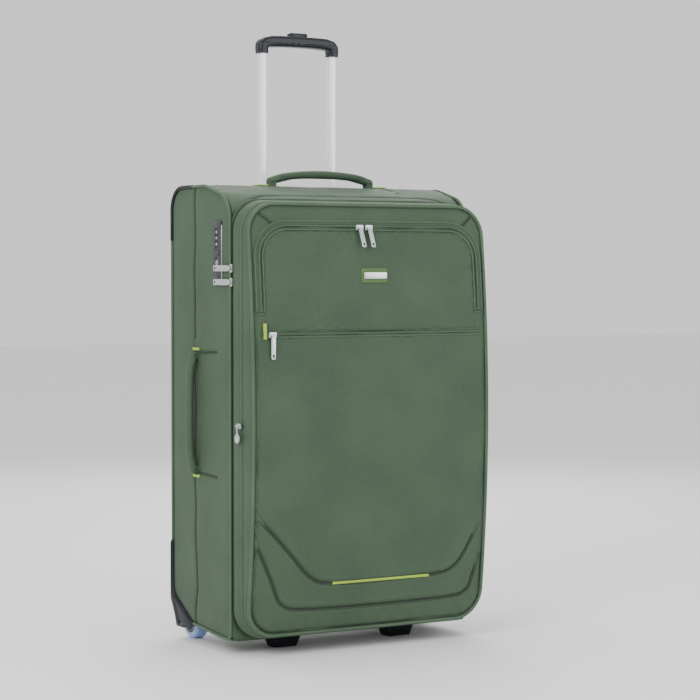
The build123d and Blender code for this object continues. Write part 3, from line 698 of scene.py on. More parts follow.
def hard_material(name, base, worn, roughness, grain=900.0, depth=0.00008, wear=0.5, rough_drift=0.12,
                  **sockets):
    """Plastic, rubber or metal with grain, uneven gloss and rubbed edges."""
    material, tree, shader = new_material(name, base, roughness, **sockets)
    place = node(tree, "TexCoord").outputs["Object"]
    kit = node(tree, "Group", node_tree=grain_group)
    rub = node(tree, "Group", node_tree=wear_group)
    for part in (kit, rub):
        tree.links.new(place, part.inputs["Vector"])
    kit.inputs["Scale"].default_value = grain
    rub.inputs["Amount"].default_value = wear
    mix = node(tree, "Mix", data_type="RGBA")
    tree.links.new(rub.outputs["Mask"], mix.inputs["Factor"])
    tone = node(tree, "Mix", data_type="RGBA")
    tree.links.new(kit.outputs["Patch"], tone.inputs["Factor"])
    tone.inputs[6].default_value = (*[c * 0.82 for c in base], 1.0)
    tone.inputs[7].default_value = (*[min(1.0, c * 1.18) for c in base], 1.0)
    tree.links.new(tone.outputs[2], mix.inputs[6])
    mix.inputs[7].default_value = (*worn, 1.0)
    tree.links.new(mix.outputs[2], shader.inputs["Base Color"])
    gloss = maths(tree, "MULTIPLY_ADD", kit.outputs["Patch"], rough_drift, roughness - rough_drift / 2)
    tree.links.new(gloss, shader.inputs["Roughness"])
    bump = node(tree, "Bump", (("Height", kit.outputs["Height"]), ("Distance", depth),
                               ("Strength", 0.7)))
    tree.links.new(bump.outputs["Normal"], shader.inputs["Normal"])
    return material


black_plastic = hard_material("black_plastic", (0.006, 0.007, 0.011), (0.04, 0.043, 0.05), 0.42,
                              Specular_IOR_Level=0.25)


def moulded(name, cad_names, material, edge, body, angle=32.0):
    """The CAD solids with their edges rounded, in place of them."""
    bm = bmesh.new()
    for cad in cad_names:
        bm.from_mesh(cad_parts[cad].data)
    for face in bm.faces:
        face.material_index = 0
    bmesh.ops.remove_doubles(bm, verts=bm.verts, dist=1e-5)
    bmesh.ops.dissolve_limit(bm, angle_limit=radians(0.6), verts=bm.verts, edges=bm.edges)
    made = piece(name, bm, material)
    rounding = made.modifiers.new("rounded_edges", "BEVEL")
    rounding.width = edge
    rounding.segments = 2
    rounding.limit_method = "ANGLE"
    rounding.angle_limit = radians(angle)
    rounding.harden_normals = True
    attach(made, body)
    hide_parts(*cad_names)
    return made


for part, edge in (("corner_guards", 0.0009), ("wheel_housings", 0.0008), ("front_feet", 0.0016),
                   ("trolley_top_housing", 0.0008), ("trolley_bottom_bracket", 0.0006)):
    moulded(f"{part}_moulding", [part], black_plastic, edge, "case")


# Guard beads: the side piping turns into a black moulded bead round the rear corners, where the
# guards and the wheel housings clip over it.

guard_radius = piping_radius + 0.0008
guard_reach = 0.082
guard_spans = ((0.69, 0.79), (0.02, 0.172))


def guard_bead(x, low_end, high_end):
    """A stretch of black bead along the side's edge between two heights of the rear."""
    runs = np.linspace(0.0, loop_run[-1], 700)
    path = np.column_stack([np.interp(runs, loop_run, loop_path[:, k]) for k in range(2)])
    chosen = [p for p in path if p[0] > rear_y - guard_reach and low_end < p[1] < high_end]
    return tube_along([(x, p[0], p[1]) for p in chosen], guard_radius, closed=False)


beads = piece("guard_beads", merged(*[guard_bead(x, *span) for x in (left - cord_x, right + cord_x)
                                      for span in guard_spans]), black_plastic)
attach(beads, "case")


def finish(material, *cad_names):
    """Gives CAD nodes whose shape is right their real material."""
    for cad in cad_names:
        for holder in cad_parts[cad].material_slots:
            holder.material = material


# Wheels: pale translucent urethane tyres on dark nylon hubs, on steel axles.

tyre_urethane = hard_material("tyre_urethane", (0.22, 0.34, 0.62), (0.35, 0.42, 0.55), 0.32,
                              grain=300.0, wear=0.3, Coat_Weight=0.3)
hub_nylon = hard_material("hub_nylon", (0.05, 0.055, 0.065), (0.12, 0.13, 0.14), 0.4)
steel = hard_material("steel", (0.55, 0.55, 0.57), (0.75, 0.75, 0.77), 0.28, grain=1500.0,
                      depth=0.00003, wear=0.3, Metallic=1.0)
for side in ("left", "right"):
    moulded(f"wheel_tyre_{side}_cast", [f"wheel_tyre_{side}"], tyre_urethane, 0.0006,
            f"wheel_{side}", angle=60.0)
    moulded(f"wheel_hub_{side}_moulding", [f"wheel_hub_{side}"], hub_nylon, 0.0006,
            f"wheel_{side}")
finish(steel, "wheel_axles", "opening_wire")


# Pull-out handle: anodised aluminium tubes, drawn and brushed lengthwise, with black glides.

def make_draw_group():
    """Fine lines along Z, as drawing and brushing leave them."""
    made, source, result = group_of("draw_lines", (("Vector", None),), ("Lines",))
    squeeze = node(made, "Mapping", (("Vector", source.outputs["Vector"]),
                                     ("Scale", (1400.0, 1400.0, 6.0))))
    lines = node(made, "TexNoise", (("Vector", squeeze.outputs["Vector"]), ("Scale", 1.0),
                                    ("Detail", 3.0)))
    made.links.new(lines.outputs["Fac"], result.inputs["Lines"])
    return made


draw_group = make_draw_group()


def drawn_metal(name, base, roughness):
    """Anodised metal with drawing lines."""
    material, tree, shader = new_material(name, base, roughness, Metallic=0.35)
    kit = node(tree, "Group", node_tree=draw_group)
    tree.links.new(node(tree, "TexCoord").outputs["Object"], kit.inputs["Vector"])
    tree.links.new(maths(tree, "MULTIPLY_ADD", kit.outputs["Lines"], 0.22, roughness - 0.08),
                   shader.inputs["Roughness"])
    tone = node(tree, "Mix", data_type="RGBA")
    tree.links.new(kit.outputs["Lines"], tone.inputs["Factor"])
    tone.inputs[6].default_value = (*[c * 0.88 for c in base], 1.0)
    tone.inputs[7].default_value = (*base, 1.0)
    tree.links.new(tone.outputs[2], shader.inputs["Base Color"])
    bump = node(tree, "Bump", (("Height", kit.outputs["Lines"]), ("Distance", 0.00003),
                               ("Strength", 0.5)))
    tree.links.new(bump.outputs["Normal"], shader.inputs["Normal"])
    return material


tube_metal = drawn_metal("tube_metal", (0.93, 0.96, 1.0), 0.30)
finish(tube_metal, "outer_tubes", "inner_tubes")
finish(black_plastic, "tube_glides")
finish(lining_cloth, "trolley_cover")


# Grip: two satin black shells closed round the tubes' tops. The bar crowns slightly, swells at
# both shoulders and turns down into a collar over each tube. The parting line runs all round.

grip_low, grip_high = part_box("grip_lower")[0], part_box("grip_upper")[1]
grip_y = (grip_low.y + grip_high.y) / 2
grip_base = grip_low.z
parting_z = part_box("grip_upper")[0].z
parting_gap = 0.0003
grip_plastic = hard_material("grip_plastic", (0.009, 0.011, 0.017), (0.05, 0.055, 0.065), 0.24,
                             grain=1200.0, depth=0.00003, wear=0.3, Specular_IOR_Level=0.3)
grip_stations = [
    (0.0705, 0.0, 90, 0.0195, 0.0225), (0.0705, 0.003, 90, 0.0195, 0.0225),
    (0.0706, 0.010, 86, 0.0200, 0.0235), (0.0690, 0.0155, 66, 0.0215, 0.0250),
    (0.0635, 0.0195, 42, 0.0220, 0.0258), (0.0530, 0.0215, 18, 0.0210, 0.0260),
    (0.0400, 0.0222, 6, 0.0200, 0.0258), (0.0200, 0.0226, 2, 0.0196, 0.0256),
]
grip_crown = (0.0, 0.0226, 0, 0.0196, 0.0256)


def grip_rings():
    """Sections of the grip from its left collar to its right one."""
    both = [(-x, z, -turn, tall, deep) for x, z, turn, tall, deep in grip_stations]
    both += [grip_crown, *reversed(grip_stations)]
    rings = []
    for x, z, turn, tall, deep in both:
        section = outline([(-deep / 2, -tall / 2), (deep / 2, -tall / 2), (deep / 2, tall / 2),
                           (-deep / 2, tall / 2)], (0.0072, 0.0072, 0.0062, 0.0062), step=0.004)
        tilt = radians(turn)
        rings.append([(middle + x + p.y * sin(tilt), grip_y + p.x, grip_base + z + p.y * cos(tilt))
                      for p in section])
    return rings


for name, side in (("grip_lower_shell", -1), ("grip_upper_shell", 1)):
    bm = capped(grip_rings())
    bmesh.ops.bisect_plane(bm, geom=[*bm.faces, *bm.edges, *bm.verts], plane_no=(0.0, 0.0, -side),
                           plane_co=(0.0, 0.0, parting_z + side * parting_gap), clear_outer=True)
    bmesh.ops.holes_fill(bm, edges=[e for e in bm.edges if e.is_boundary])
    bmesh.ops.recalc_face_normals(bm, faces=bm.faces)
    shell = piece(name, bm, grip_plastic)
    rounding = shell.modifiers.new("rounded_edges", "BEVEL")
    rounding.width = 0.0005
    rounding.segments = 2
    rounding.angle_limit = radians(50)
    rounding.harden_normals = True
    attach(shell, "pull_handle")
    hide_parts(name.replace("_shell", ""))
moulded("release_button_moulding", ["release_button"], grip_plastic, 0.0005, "release_button")


# Carry handles: foam bars sewn into shell cloth, with a seam along the underside. Their ends
# are sewn down at cloth-covered anchors, each with a bright tag folded into its seam.

tag_cloth = cloth_material("tag_cloth", (0.26, 0.40, 0.03), (0.44, 0.62, 0.08), pitch=0.0010)
pad_stations = 44
pad_cap = 0.0022
pad_swell = 0.92
pad_hold = 0.013


def pad_section(width, height, count=20):
    """Flattened round section of a stuffed bar, a little flatter below."""
    ring = []
    for k in range(count):
        turn = 2 * pi * k / count
        u, v = cos(turn), sin(turn)
        square = (abs(u) ** 2.6 + abs(v) ** 2.6) ** (-1 / 2.6)
        ring.append((u * square * width / 2, v * square * height / 2 * (0.94 if v < 0 else 1.0)))
    return ring


def fill_out(made, held, cap, pressure=4.0, growth=0.03, frames=20):
    """Swells a stuffed piece with a cloth simulation and keeps the result in its mesh."""
    mesh = made.data
    start = np.array([vert.co[:] for vert in mesh.vertices])
    pins = made.vertex_groups.new(name="held")
    pins.add([k for k, co in enumerate(start) if held(co)], 1.0, "REPLACE")
    cloth = made.modifiers.new("cloth", "CLOTH")
    cloth.settings.quality = 6
    cloth.settings.use_pressure = True
    cloth.settings.uniform_pressure_force = pressure
    cloth.settings.vertex_group_mass = "held"
    cloth.settings.shrink_min = -growth
    cloth.settings.bending_stiffness = 0.4
    cloth.settings.effector_weights.gravity = 0.0
    cloth.point_cache.frame_start = 1
    cloth.point_cache.frame_end = frames
    for step in range(1, frames + 1):
        bpy.context.scene.frame_set(step)
    solved = made.evaluated_get(bpy.context.evaluated_depsgraph_get())
    move = np.array([vert.co[:] for vert in solved.data.vertices]) - start
    reach = np.linalg.norm(move, axis=1, keepdims=True)
    move *= np.minimum(1.0, cap / np.maximum(reach, 1e-9))
    made.modifiers.remove(cloth)
    made.vertex_groups.remove(pins)
    for vert, co in zip(mesh.vertices, start + move):
        vert.co = co
    bpy.context.scene.frame_set(1)


def padded_bar(name, low_end, low_mid, high_end, high_mid, width, half, place):
    """A bowed stuffed bar; place(along, across, up) puts it on the case."""
    rings = []
    for k in range(pad_stations + 1):
        along = -1 + 2 * k / pad_stations
        crown = 1 - along * along
        low = low_end + (low_mid - low_end) * (1 - abs(along) ** 3)
        high = high_end + (high_mid - high_end) * crown
        taper = 1 - 0.16 * abs(along) ** 12
        middle_height = (low + high) / 2
        section = pad_section(width * taper * pad_swell, (high - low) * pad_swell * taper)
        rings.append([place(along * half, a, middle_height + b) for a, b in section])
    made = piece(name, capped(rings), shell_cloth)
    ends = [Vector(place(s * half, 0.0, (low_end + high_end) / 2)) for s in (-1, 1)]
    fill_out(made, lambda co: min((Vector(co) - e).length for e in ends) < pad_hold, pad_cap)
    smooth = made.modifiers.new("smooth", "SUBSURF")
    smooth.levels = smooth.render_levels = 1
    return made


carry_low, carry_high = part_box("carry_handle")
carry_y = (carry_low.y + carry_high.y) / 2
sleeve_half = 0.103


def on_top(along, across, up):
    """Places above the case's top."""
    return (middle + along, carry_y + across, case_top + up)


def on_side(along, across, up):
    """Places outside the case's left side."""
    return (left - up, handle_y + across, handle_z + along)


carry_pad = padded_bar("carry_handle_pad", low_end=0.0028, low_mid=0.0135, high_end=0.0190,
                       high_mid=0.0295, width=0.022, half=sleeve_half, place=on_top)
side_pad = padded_bar("side_handle_pad", low_end=0.0022, low_mid=0.0085, high_end=0.0178,
                      high_mid=0.0215, width=0.022, half=sleeve_half, place=on_side)
for pad, cad in ((carry_pad, "carry_handle"), (side_pad, "side_handle")):
    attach(pad, cad)
    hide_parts(cad)

moulded("handle_anchor_covers", ["handle_anchors"], shell_cloth, 0.0012, "case")


def tag(bm, centre, size):
    """One folded tag as a thin rounded block."""
    made = bmesh.ops.create_cube(bm, size=1.0)
    bmesh.ops.scale(bm, vec=size, verts=made["verts"])
    bmesh.ops.translate(bm, vec=centre, verts=made["verts"])


tags = bmesh.new()
tag_reach = sleeve_half + 0.003
for side in (-1, 1):
    tag(tags, (left - 0.0042, handle_y, handle_z + side * (tag_reach + 0.002)), (0.0022, 0.024, 0.0050))
    tag(tags, (middle + side * (tag_reach + 0.012), carry_y, case_top + 0.0036), (0.016, 0.030, 0.0022))
handle_tags = piece("handle_tags", tags, tag_cloth)
fold = handle_tags.modifiers.new("folded_edges", "BEVEL")
fold.width = 0.0009
fold.segments = 2
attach(handle_tags, "case")


# Lock: a black housing let into the left side, with three number dials behind a window, a
# release button and a key cylinder. The numbers are printed white.

white_print, print_tree, print_shader = new_material("white_print", (0.85, 0.86, 0.88), 0.5)
print_noise = node(print_tree, "TexNoise", (("Scale", 900.0),))
print_tree.links.new(node(print_tree, "TexCoord").outputs["Object"], print_noise.inputs["Vector"])
print_bump = node(print_tree, "Bump", (("Height", print_noise.outputs["Fac"]), ("Distance", 0.00003)))
print_tree.links.new(print_bump.outputs["Normal"], print_shader.inputs["Normal"])
lock_plastic = hard_material("lock_plastic", (0.007, 0.008, 0.013), (0.2, 0.21, 0.23), 0.34, wear=0.8)
dial_plastic = hard_material("dial_plastic", (0.03, 0.033, 0.04), (0.1, 0.1, 0.11), 0.4)
number_height = 0.0056
moulded("lock_housing_moulding", ["lock_housing"], lock_plastic, 0.0007, "case")
moulded("lock_button_moulding", ["lock_button"], dial_plastic, 0.0006, "lock_button")
finish(steel, "lock_key_cylinder")


def numbers_round(name, centre, radius):
    """Ten printed numbers round a dial, as thin raised figures."""
    whole = bmesh.new()
    for value in range(10):
        text = bpy.data.curves.new("figure", "FONT")
        text.body = str(value)
        text.size = number_height
        text.align_x = "CENTER"
        text.align_y = "CENTER"
        text.extrude = 0.00012
        holder = bpy.data.objects.new("figure", text)
        bpy.context.collection.objects.link(holder)
        mesh = bpy.data.meshes.new_from_object(holder)
        turn = radians(36.0 * value)
        stand = Matrix.Translation(centre) @ Matrix.Rotation(turn, 4, "Z")
        stand = stand @ Matrix.Translation((-radius, 0.0, 0.0)) @ Matrix.Rotation(radians(-90), 4, "Z")
        mesh.transform(stand @ Matrix.Rotation(radians(90), 4, "X"))
        whole.from_mesh(mesh)
        bpy.data.objects.remove(holder)
        bpy.data.curves.remove(text)
        bpy.data.meshes.remove(mesh)
    figures = piece(name, whole, white_print)
    figures.data.shade_flat()
    return figures


for count in (1, 2, 3):
    dial = f"lock_dial_{count}"
    low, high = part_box(dial)
    moulded(f"{dial}_wheel", [dial], dial_plastic, 0.0007, dial)
    figures = numbers_round(f"{dial}_numbers", (low + high) / 2, (high.x - low.x) / 2 + 0.00005)
    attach(figures, dial)


# Main zip: black-green tape with a moulded coil, one half sewn to the body and one to the lid.
# It runs round three sides; the right side's middle is the sewn hinge.

zip_middle = (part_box("main_zip_case")[0].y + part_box("lid_zips")[1].y) / 2
main_zip_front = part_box("lid_ring")[1].y
hinge_low, hinge_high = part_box("hinge_strip")[0].z - 0.001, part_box("hinge_strip")[1].z + 0.001
lid_front_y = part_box("front_board")[0].y
lid_slope = (0.011, -0.007, 0.002)
lid_depth = 0.074
zip_recess = 0.0022
tooth_pitch = 0.0026
tooth_size = (0.0015, 0.0030, 0.0014)
tooth_lean = 0.0011
zip_tape = cloth_material("zip_tape", (0.012, 0.022, 0.015), (0.034, 0.052, 0.038), pitch=0.0008,
                          roughness=0.7, sheen=0.1)
coil_nylon = hard_material("coil_nylon", (0.020, 0.028, 0.022), (0.08, 0.09, 0.085), 0.34,
                           grain=2000.0, depth=0.00002, wear=0.2)


def lid_outline(y, inset, step=0.02):
    """The lid's outline at a depth, as (x, z) points: as many at every depth and inset."""
    along = (seam_y - y) / lid_depth
    reach = (right - left) / 2 - opening_radius
    low, high = lid_bottom + opening_radius, lid_top - opening_radius
    moved_low, moved_high = low + lid_slope[0] * along, high + lid_slope[1] * along
    moved = []
    for p in box_outline(reach + opening_radius, lid_bottom, lid_top, opening_radius, opening_radius, step):
        core = Vector((min(max(p.x, -reach), reach), min(max(p.y, low), high)))
        out = (p - core) / opening_radius
        core.x *= (reach - lid_slope[2] * along) / reach
        core.y = moved_low + (core.y - low) * (moved_high - moved_low) / (high - low)
        moved.append(core + out * (opening_radius - inset))
    return moved


def free_of_hinge(points):
    """The open run of an outline that leaves out the hinge on the right."""
    def on_hinge(p):
        return p[0] > 0.15 and hinge_low < p[2] < hinge_high
    start = next(k for k in range(len(points)) if on_hinge(points[k - 1]) and not on_hinge(points[k]))
    turned = points[start:] + points[:start]
    return [p for p in turned if not on_hinge(p)]


def lid_ring(y, inset, step=0.02):
    """The lid's outline at a depth as points in the case's space."""
    return [(middle + p.x, y, p.y) for p in lid_outline(y, inset, step)]


def teeth(points, closed, outwards, offset_y, phase):
    """Coil teeth along a run of points, leaning over the zip's middle by offset_y."""
    bm = bmesh.new()
    run = [Vector(p) for p in points] + ([Vector(points[0])] if closed else [])
    travelled, due = 0.0, phase * tooth_pitch
    for a, b in zip(run, run[1:]):
        length = (b - a).length
        if length < 1e-7:
            continue
        along = (b - a) / length
        out = along.cross(Vector((0.0, 1.0, 0.0))) * outwards
        turn = Matrix((along, Vector((0.0, 1.0, 0.0)), out)).transposed().to_4x4()
        while due < travelled + length:
            centre = a + along * (due - travelled) + Vector((0.0, offset_y, 0.0))
            shape = Matrix.Translation(centre) @ turn @ Matrix.Diagonal((*tooth_size, 1.0))
            bmesh.ops.create_cube(bm, size=1.0, matrix=shape)
            due += tooth_pitch
        travelled += length
    bmesh.ops.recalc_face_normals(bm, faces=bm.faces)
    return bm


def open_tape(y_back, y_front, inset):
    """A half zip's tape as a thin band with both its faces."""
    stations = ((y_back, inset), (y_front, inset), (y_front, inset + 0.0012), (y_back, inset + 0.0012))
    rings = [free_of_hinge(lid_ring(y, depth, 0.012)) for y, depth in stations]
    return skin(rings, closed_ring=False, closed_way=True)


gap = 0.0003
case_tape = open_tape(seam_y - 0.0006, zip_middle + gap, zip_recess)
coil_run = free_of_hinge(lid_ring(zip_middle, zip_recess - 0.0006, 0.008))
case_teeth = teeth(coil_run, False, -1, tooth_lean, 0.0)
case_zip = piece("main_zip_case_half", case_tape, zip_tape)
case_coil = piece("main_zip_case_coil", case_teeth, coil_nylon)
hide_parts("main_zip_case")
lid_tape = open_tape(zip_middle - gap, main_zip_front + 0.0006, zip_recess)
lid_teeth = teeth(coil_run, False, -1, -tooth_lean, 0.5)
lid_zip = piece("main_zip_lid_half", lid_tape, zip_tape)
lid_coil = piece("main_zip_lid_coil", lid_teeth, coil_nylon)
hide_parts("lid_zips")
for part, body in ((case_zip, "case"), (case_coil, "case"), (lid_zip, "lid"), (lid_coil, "lid")):
    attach(part, body)


# Hinge: a doubled strip of shell cloth sewn to the body and to the lid. It stays fixed in place
# and does not bend when the lid swings open.

hinge_cloth_step = 0.0012


def hinge_strip():
    """A thin closed strip along the hinge, finely divided across its bend."""
    low, high = hinge_low - 0.004, hinge_high + 0.004
    rows = round((seam_y - main_zip_front) / hinge_cloth_step)
    rings = []
    for k in range(rows + 1):
        y = seam_y + 0.0005 - (seam_y - main_zip_front + 0.001) * k / rows
        bulge = 0.0014 * sin(pi * k / rows)
        rings.append([(right - 0.0012 + bulge, y, low), (right - 0.0012 + bulge, y, high),
                      (right - 0.0026 + bulge, y, high), (right - 0.0026 + bulge, y, low)])
    bm = capped(rings)
    lengthwise = [e for e in bm.edges if abs(e.verts[0].co.z - e.verts[1].co.z) > 0.1]
    bmesh.ops.subdivide_edges(bm, edges=lengthwise, cuts=40, use_grid_fill=True)
    bmesh.ops.recalc_face_normals(bm, faces=bm.faces)
    return bm


hinge = piece("hinge_cloth", hinge_strip(), shell_cloth)
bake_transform(hinge)
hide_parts("hinge_strip")


# Lid's rear ring: a band of shell cloth over foam between the main zip and the expansion zip,
# with a corded edge along both zips.

expansion_middle = (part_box("front_ring")[1].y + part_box("lid_ring")[0].y) / 2
flap_gap = 0.0009
edge_cord = 0.0013


def banded(y_back, y_front, puff, inner=0.003, rows=6):
    """A closed band round the lid, puffed outwards between its edges."""
    rings = []
    for k in range(rows + 1):
        share = k / rows
        y = y_back + (y_front - y_back) * share
        rings.append(lid_ring(y, 0.0004 - puff * sin(pi * share), 0.014))
    rings.append(lid_ring(y_front, inner, 0.014))
    rings.append(lid_ring(y_back, inner, 0.014))
    return skin(rings, closed_way=True)


rear_flap = expansion_middle + flap_gap
rear_band = piece("lid_rear_band", banded(main_zip_front, rear_flap, 0.0016), shell_cloth)
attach(rear_band, "lid")
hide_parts("lid_ring")
rear_cords = piece("lid_rear_cords", merged(
    tube_along(lid_ring(main_zip_front + 0.0004, 0.0008, 0.012), edge_cord),
    tube_along(lid_ring(rear_flap + 0.0006, 0.0004, 0.012), edge_cord)), piping_cloth)
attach(rear_cords, "lid")


# Expansion zip and gusset: closed, the zip lies under the corded edges of both bands. Open, it
# lets the front move out by 40 mm; the folded gusset stays fixed in place and does not stretch.

gusset_low, gusset_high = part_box("expansion_gusset")[0].y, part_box("expansion_gusset")[1].y
gusset_inset = 0.0044
folds = 5


def gusset_skin():
    """A thin folded sleeve inside both bands."""
    rings = []
    rows = 4 * folds
    for inset, order in ((0.0, range(rows + 1)), (0.0005, range(rows, -1, -1))):
        for k in order:
            y = gusset_high + (gusset_low - gusset_high) * k / rows
            fold_depth = 0.0005 * (1 - cos(2 * pi * folds * k / rows))
            rings.append(lid_ring(y, gusset_inset + inset + fold_depth, 0.03))
    return skin(rings, closed_way=True)


gusset = piece("expansion_gusset_cloth", gusset_skin(), shell_cloth)
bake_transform(gusset)
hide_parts("expansion_gusset")


def closed_tape(y_back, y_front, inset):
    """A half of the expansion zip's tape, all round."""
    stations = ((y_back, inset), (y_front, inset), (y_front, inset + 0.001), (y_back, inset + 0.001))
    return skin([lid_ring(y, depth, 0.014) for y, depth in stations], closed_way=True)


expansion_inset = 0.0016
for name, y0, y1, shift, phase, body in (
        ("rear", expansion_middle + 0.006, expansion_middle + gap, tooth_lean, 0.0, "lid"),
        ("front", expansion_middle - gap, expansion_middle - 0.006, -tooth_lean, 0.5, "lid_front")):
    tape = piece(f"expansion_zip_{name}_tape", closed_tape(y0, y1, expansion_inset + 0.0014), zip_tape)
    coil = piece(f"expansion_zip_{name}_coil", teeth(
        lid_ring(expansion_middle, expansion_inset + 0.0008, 0.008), True, -1, shift, phase), coil_nylon)
    for part in (tape, coil):
        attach(part, body)


# Lid front: a stiff board bowed forwards, covered with shell cloth, in a band that carries the
# front piping all round.

board_middle = (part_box("front_board")[0].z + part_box("front_board")[1].z) / 2
bow_rise = 0.024
bow_half = 0.356
bow_radius = (bow_half ** 2 + bow_rise ** 2) / (2 * bow_rise)
front_cord_radius = 0.0030
front_edge_y = lid_front_y + 0.012


def bow_y(z, forward=0.0):
    """Depth of the bowed front at a height, moved forward by a distance."""
    return lid_front_y + bow_radius - np.sqrt((bow_radius + forward) ** 2 - (z - board_middle) ** 2)


def bowed_ring(inset, forward, step=0.012):
    """The lid's outline on its bowed front."""
    flat = lid_outline(front_edge_y, inset, step)
    return [(middle + p.x, float(bow_y(p.y, forward)), p.y) for p in flat]


front_flap = expansion_middle - flap_gap
band_rows = 5


def front_band():
    """The front band, from the expansion zip to the bowed edge."""
    rings = []
    for inset, order in ((0.0006, range(band_rows + 1)), (0.003, range(band_rows, -1, -1))):
        back = lid_outline(front_flap, inset, 0.012)
        for k in order:
            share = k / band_rows
            puff = 0.0012 * sin(pi * share) if inset < 0.002 else 0.0
            front = bowed_ring(inset - puff, -0.002)
            rings.append([Vector((middle + p.x, front_flap, p.y)).lerp(Vector(q), share)
                          for p, q in zip(back, front)])
    return skin(rings, closed_way=True)


front_wall = piece("lid_front_band", front_band(), shell_cloth)
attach(front_wall, "lid_front")
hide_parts("front_ring")
front_cords = piece("lid_front_piping", merged(
    tube_along(bowed_ring(0.0010, 0.0006, 0.008), front_cord_radius, sides=10),
    tube_along(lid_ring(front_flap - 0.0006, 0.0004, 0.012), edge_cord)), piping_cloth)
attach(front_cords, "lid_front")
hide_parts("front_piping")

board_outline = lid_outline(front_edge_y, 0.003)
board_puff = 0.0022
corner_seams = [[(-0.205, 0.731), (-0.178, 0.711)], [(0.205, 0.731), (0.186, 0.715)]]


def board_height(u, v):
    """Puff of the cover near its edge and the mitred seams at the upper corners."""
    inside = edge_distance(u, v, board_outline)
    height = 0.0006 + board_puff * (1 - np.exp(-np.maximum(inside - 0.002, 0) / 0.006))
    height -= 0.0016 * np.exp(-(inside / 0.0022) ** 2)
    for line in corner_seams:
        height += groove(line_distance(u, v, line), 0.0012, 0.0024)
    return height + 0.0004 * np.sin(u * 61 + 1.3) * np.sin(v * 37)


def on_front(height, edge=0.0):
    """Mould that lays a flat sheet on the bowed front at a height."""
    def place(u, v, w):
        stand = np.where(w == 0, height(u, v), edge)
        return middle + u, bow_y(v) - stand, v
    return place


board_bm = sheet_inside(board_outline, step=0.004)
mould(board_bm, on_front(board_height), [*corner_seams, rim_of(board_outline)])
board = piece("lid_front_cover", board_bm, shell_cloth)
back_bm = sheet_inside(board_outline, step=0.02)
mould(back_bm, lambda u, v, w: (middle + u, bow_y(v) + 0.003 + (w < 0) * -0.002, v))
inner_face = piece("lid_front_lining", back_bm, lining_cloth)
for part in (board, inner_face):
    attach(part, "lid_front")
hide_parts("front_board")


# Pockets: two bags of shell cloth on the lid's front, filled out in the middle and sewn down at
# the edges. The lower one carries a bright bar and two curved seams, and its sewn edge puckers.

split_z = (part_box("lower_pocket_panel")[1].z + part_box("upper_pocket_panel")[0].z) / 2
upper_low, upper_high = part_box("upper_pocket_panel")
upper_half = (upper_high.x - upper_low.x) / 2
upper_corner = 0.048
lower_corner = 0.045
split_gap = 0.003
pocket_rise = 0.0030
upper_outline = outline([(-upper_half, split_z + split_gap), (upper_half, split_z + split_gap),
                         (upper_half, upper_high.z), (-upper_half, upper_high.z)],
                        (0.001, 0.001, upper_corner, upper_corner), step=0.01)
lower_edge = [p for p in lid_outline(front_edge_y, 0.006) if p.y < split_z - split_gap]
lower_half, lower_base = max(p.x for p in lower_edge), min(p.y for p in lower_edge)
lower_outline = outline([(-lower_half, lower_base), (lower_half, lower_base),
                         (lower_half, split_z - split_gap), (-lower_half, split_z - split_gap)],
                        (lower_corner, lower_corner, 0.001, 0.001), step=0.02)


def smooth_line(points, rounds=3):
    """An open line with its corners cut off, a few times over."""
    line = [np.array(p) for p in points]
    for _ in range(rounds):
        cut = [line[0]]
        for a, b in zip(line[:-1], line[1:]):
            cut += [a * 0.75 + b * 0.25, a * 0.25 + b * 0.75]
        line = cut + [line[-1]]
    return line


upper_seam = smooth_line([(-0.222, 0.240), (-0.165, 0.180), (-0.120, 0.128), (-0.085, 0.117),
                          (0.120, 0.119), (0.165, 0.126), (0.196, 0.172), (0.224, 0.228)])
lower_seam = smooth_line([(-0.224, 0.200), (-0.188, 0.125), (-0.172, 0.084), (-0.130, 0.076),
                          (0.160, 0.076), (0.196, 0.084), (0.206, 0.118), (0.224, 0.168)])


def puckers(distance, along, depth, reach, pitch, phase=0.0):
    """Small gathers that fade away from a sewn edge."""
    wave = np.sin(along * 2 * pi / pitch + 2.3 * np.sin(along * 17 + phase) + phase)
    return depth * wave * np.exp(-np.maximum(distance, 0) / reach)


def lower_height(u, v):
    """The lower pocket's bulge, seams and gathers."""
    inside = edge_distance(u, v, lower_outline)
    height = pocket_rise * (1 - np.exp(-np.maximum(inside, 0) / 0.0035))
    across = np.clip(1 - (u / 0.215) ** 2, 0, 1)
    upright = np.clip(1 - ((v - 0.275) / 0.245) ** 2, 0, 1)
    height += 0.0125 * across ** 0.8 * upright ** 0.9
    for line, depth in ((upper_seam, 0.0021), (lower_seam, 0.0019)):
        gap_to = line_distance(u, v, line)
        height += groove(gap_to, depth, 0.0030) + 0.0009 * np.exp(-((gap_to - 0.007) / 0.004) ** 2)
        height += puckers(gap_to, u + v, 0.00035, 0.012, 0.021)
    height += puckers(inside, u + 0.6 * v, 0.0010, 0.022, 0.030, 0.8) * np.clip(inside / 0.006, 0, 1)
    height += 0.0008 * np.sin(u * 27 + 3 * np.sin(v * 9)) * np.sin(v * 19 + 0.7)
    return height


def upper_height(u, v):
    """The upper pocket's bulge and the gathers along its arched zip."""
    inside = edge_distance(u, v, upper_outline)
    height = pocket_rise * (1 - np.exp(-np.maximum(inside, 0) / 0.0030))
    across = np.clip(1 - (u / 0.205) ** 2, 0, 1)
    upright = np.clip(1 - ((v - 0.618) / 0.094) ** 2, 0, 1)
    height += 0.0095 * across ** 0.7 * upright ** 0.9
    turn = np.arctan2(v - 0.60, u)
    height += puckers(inside, turn * 0.16, 0.0012, 0.020, 0.024, 0.4) * np.clip(inside / 0.005, 0, 1)
    height += 0.0007 * np.sin(u * 33 + 2 * np.sin(v * 21)) * np.sin(v * 43)
    return height


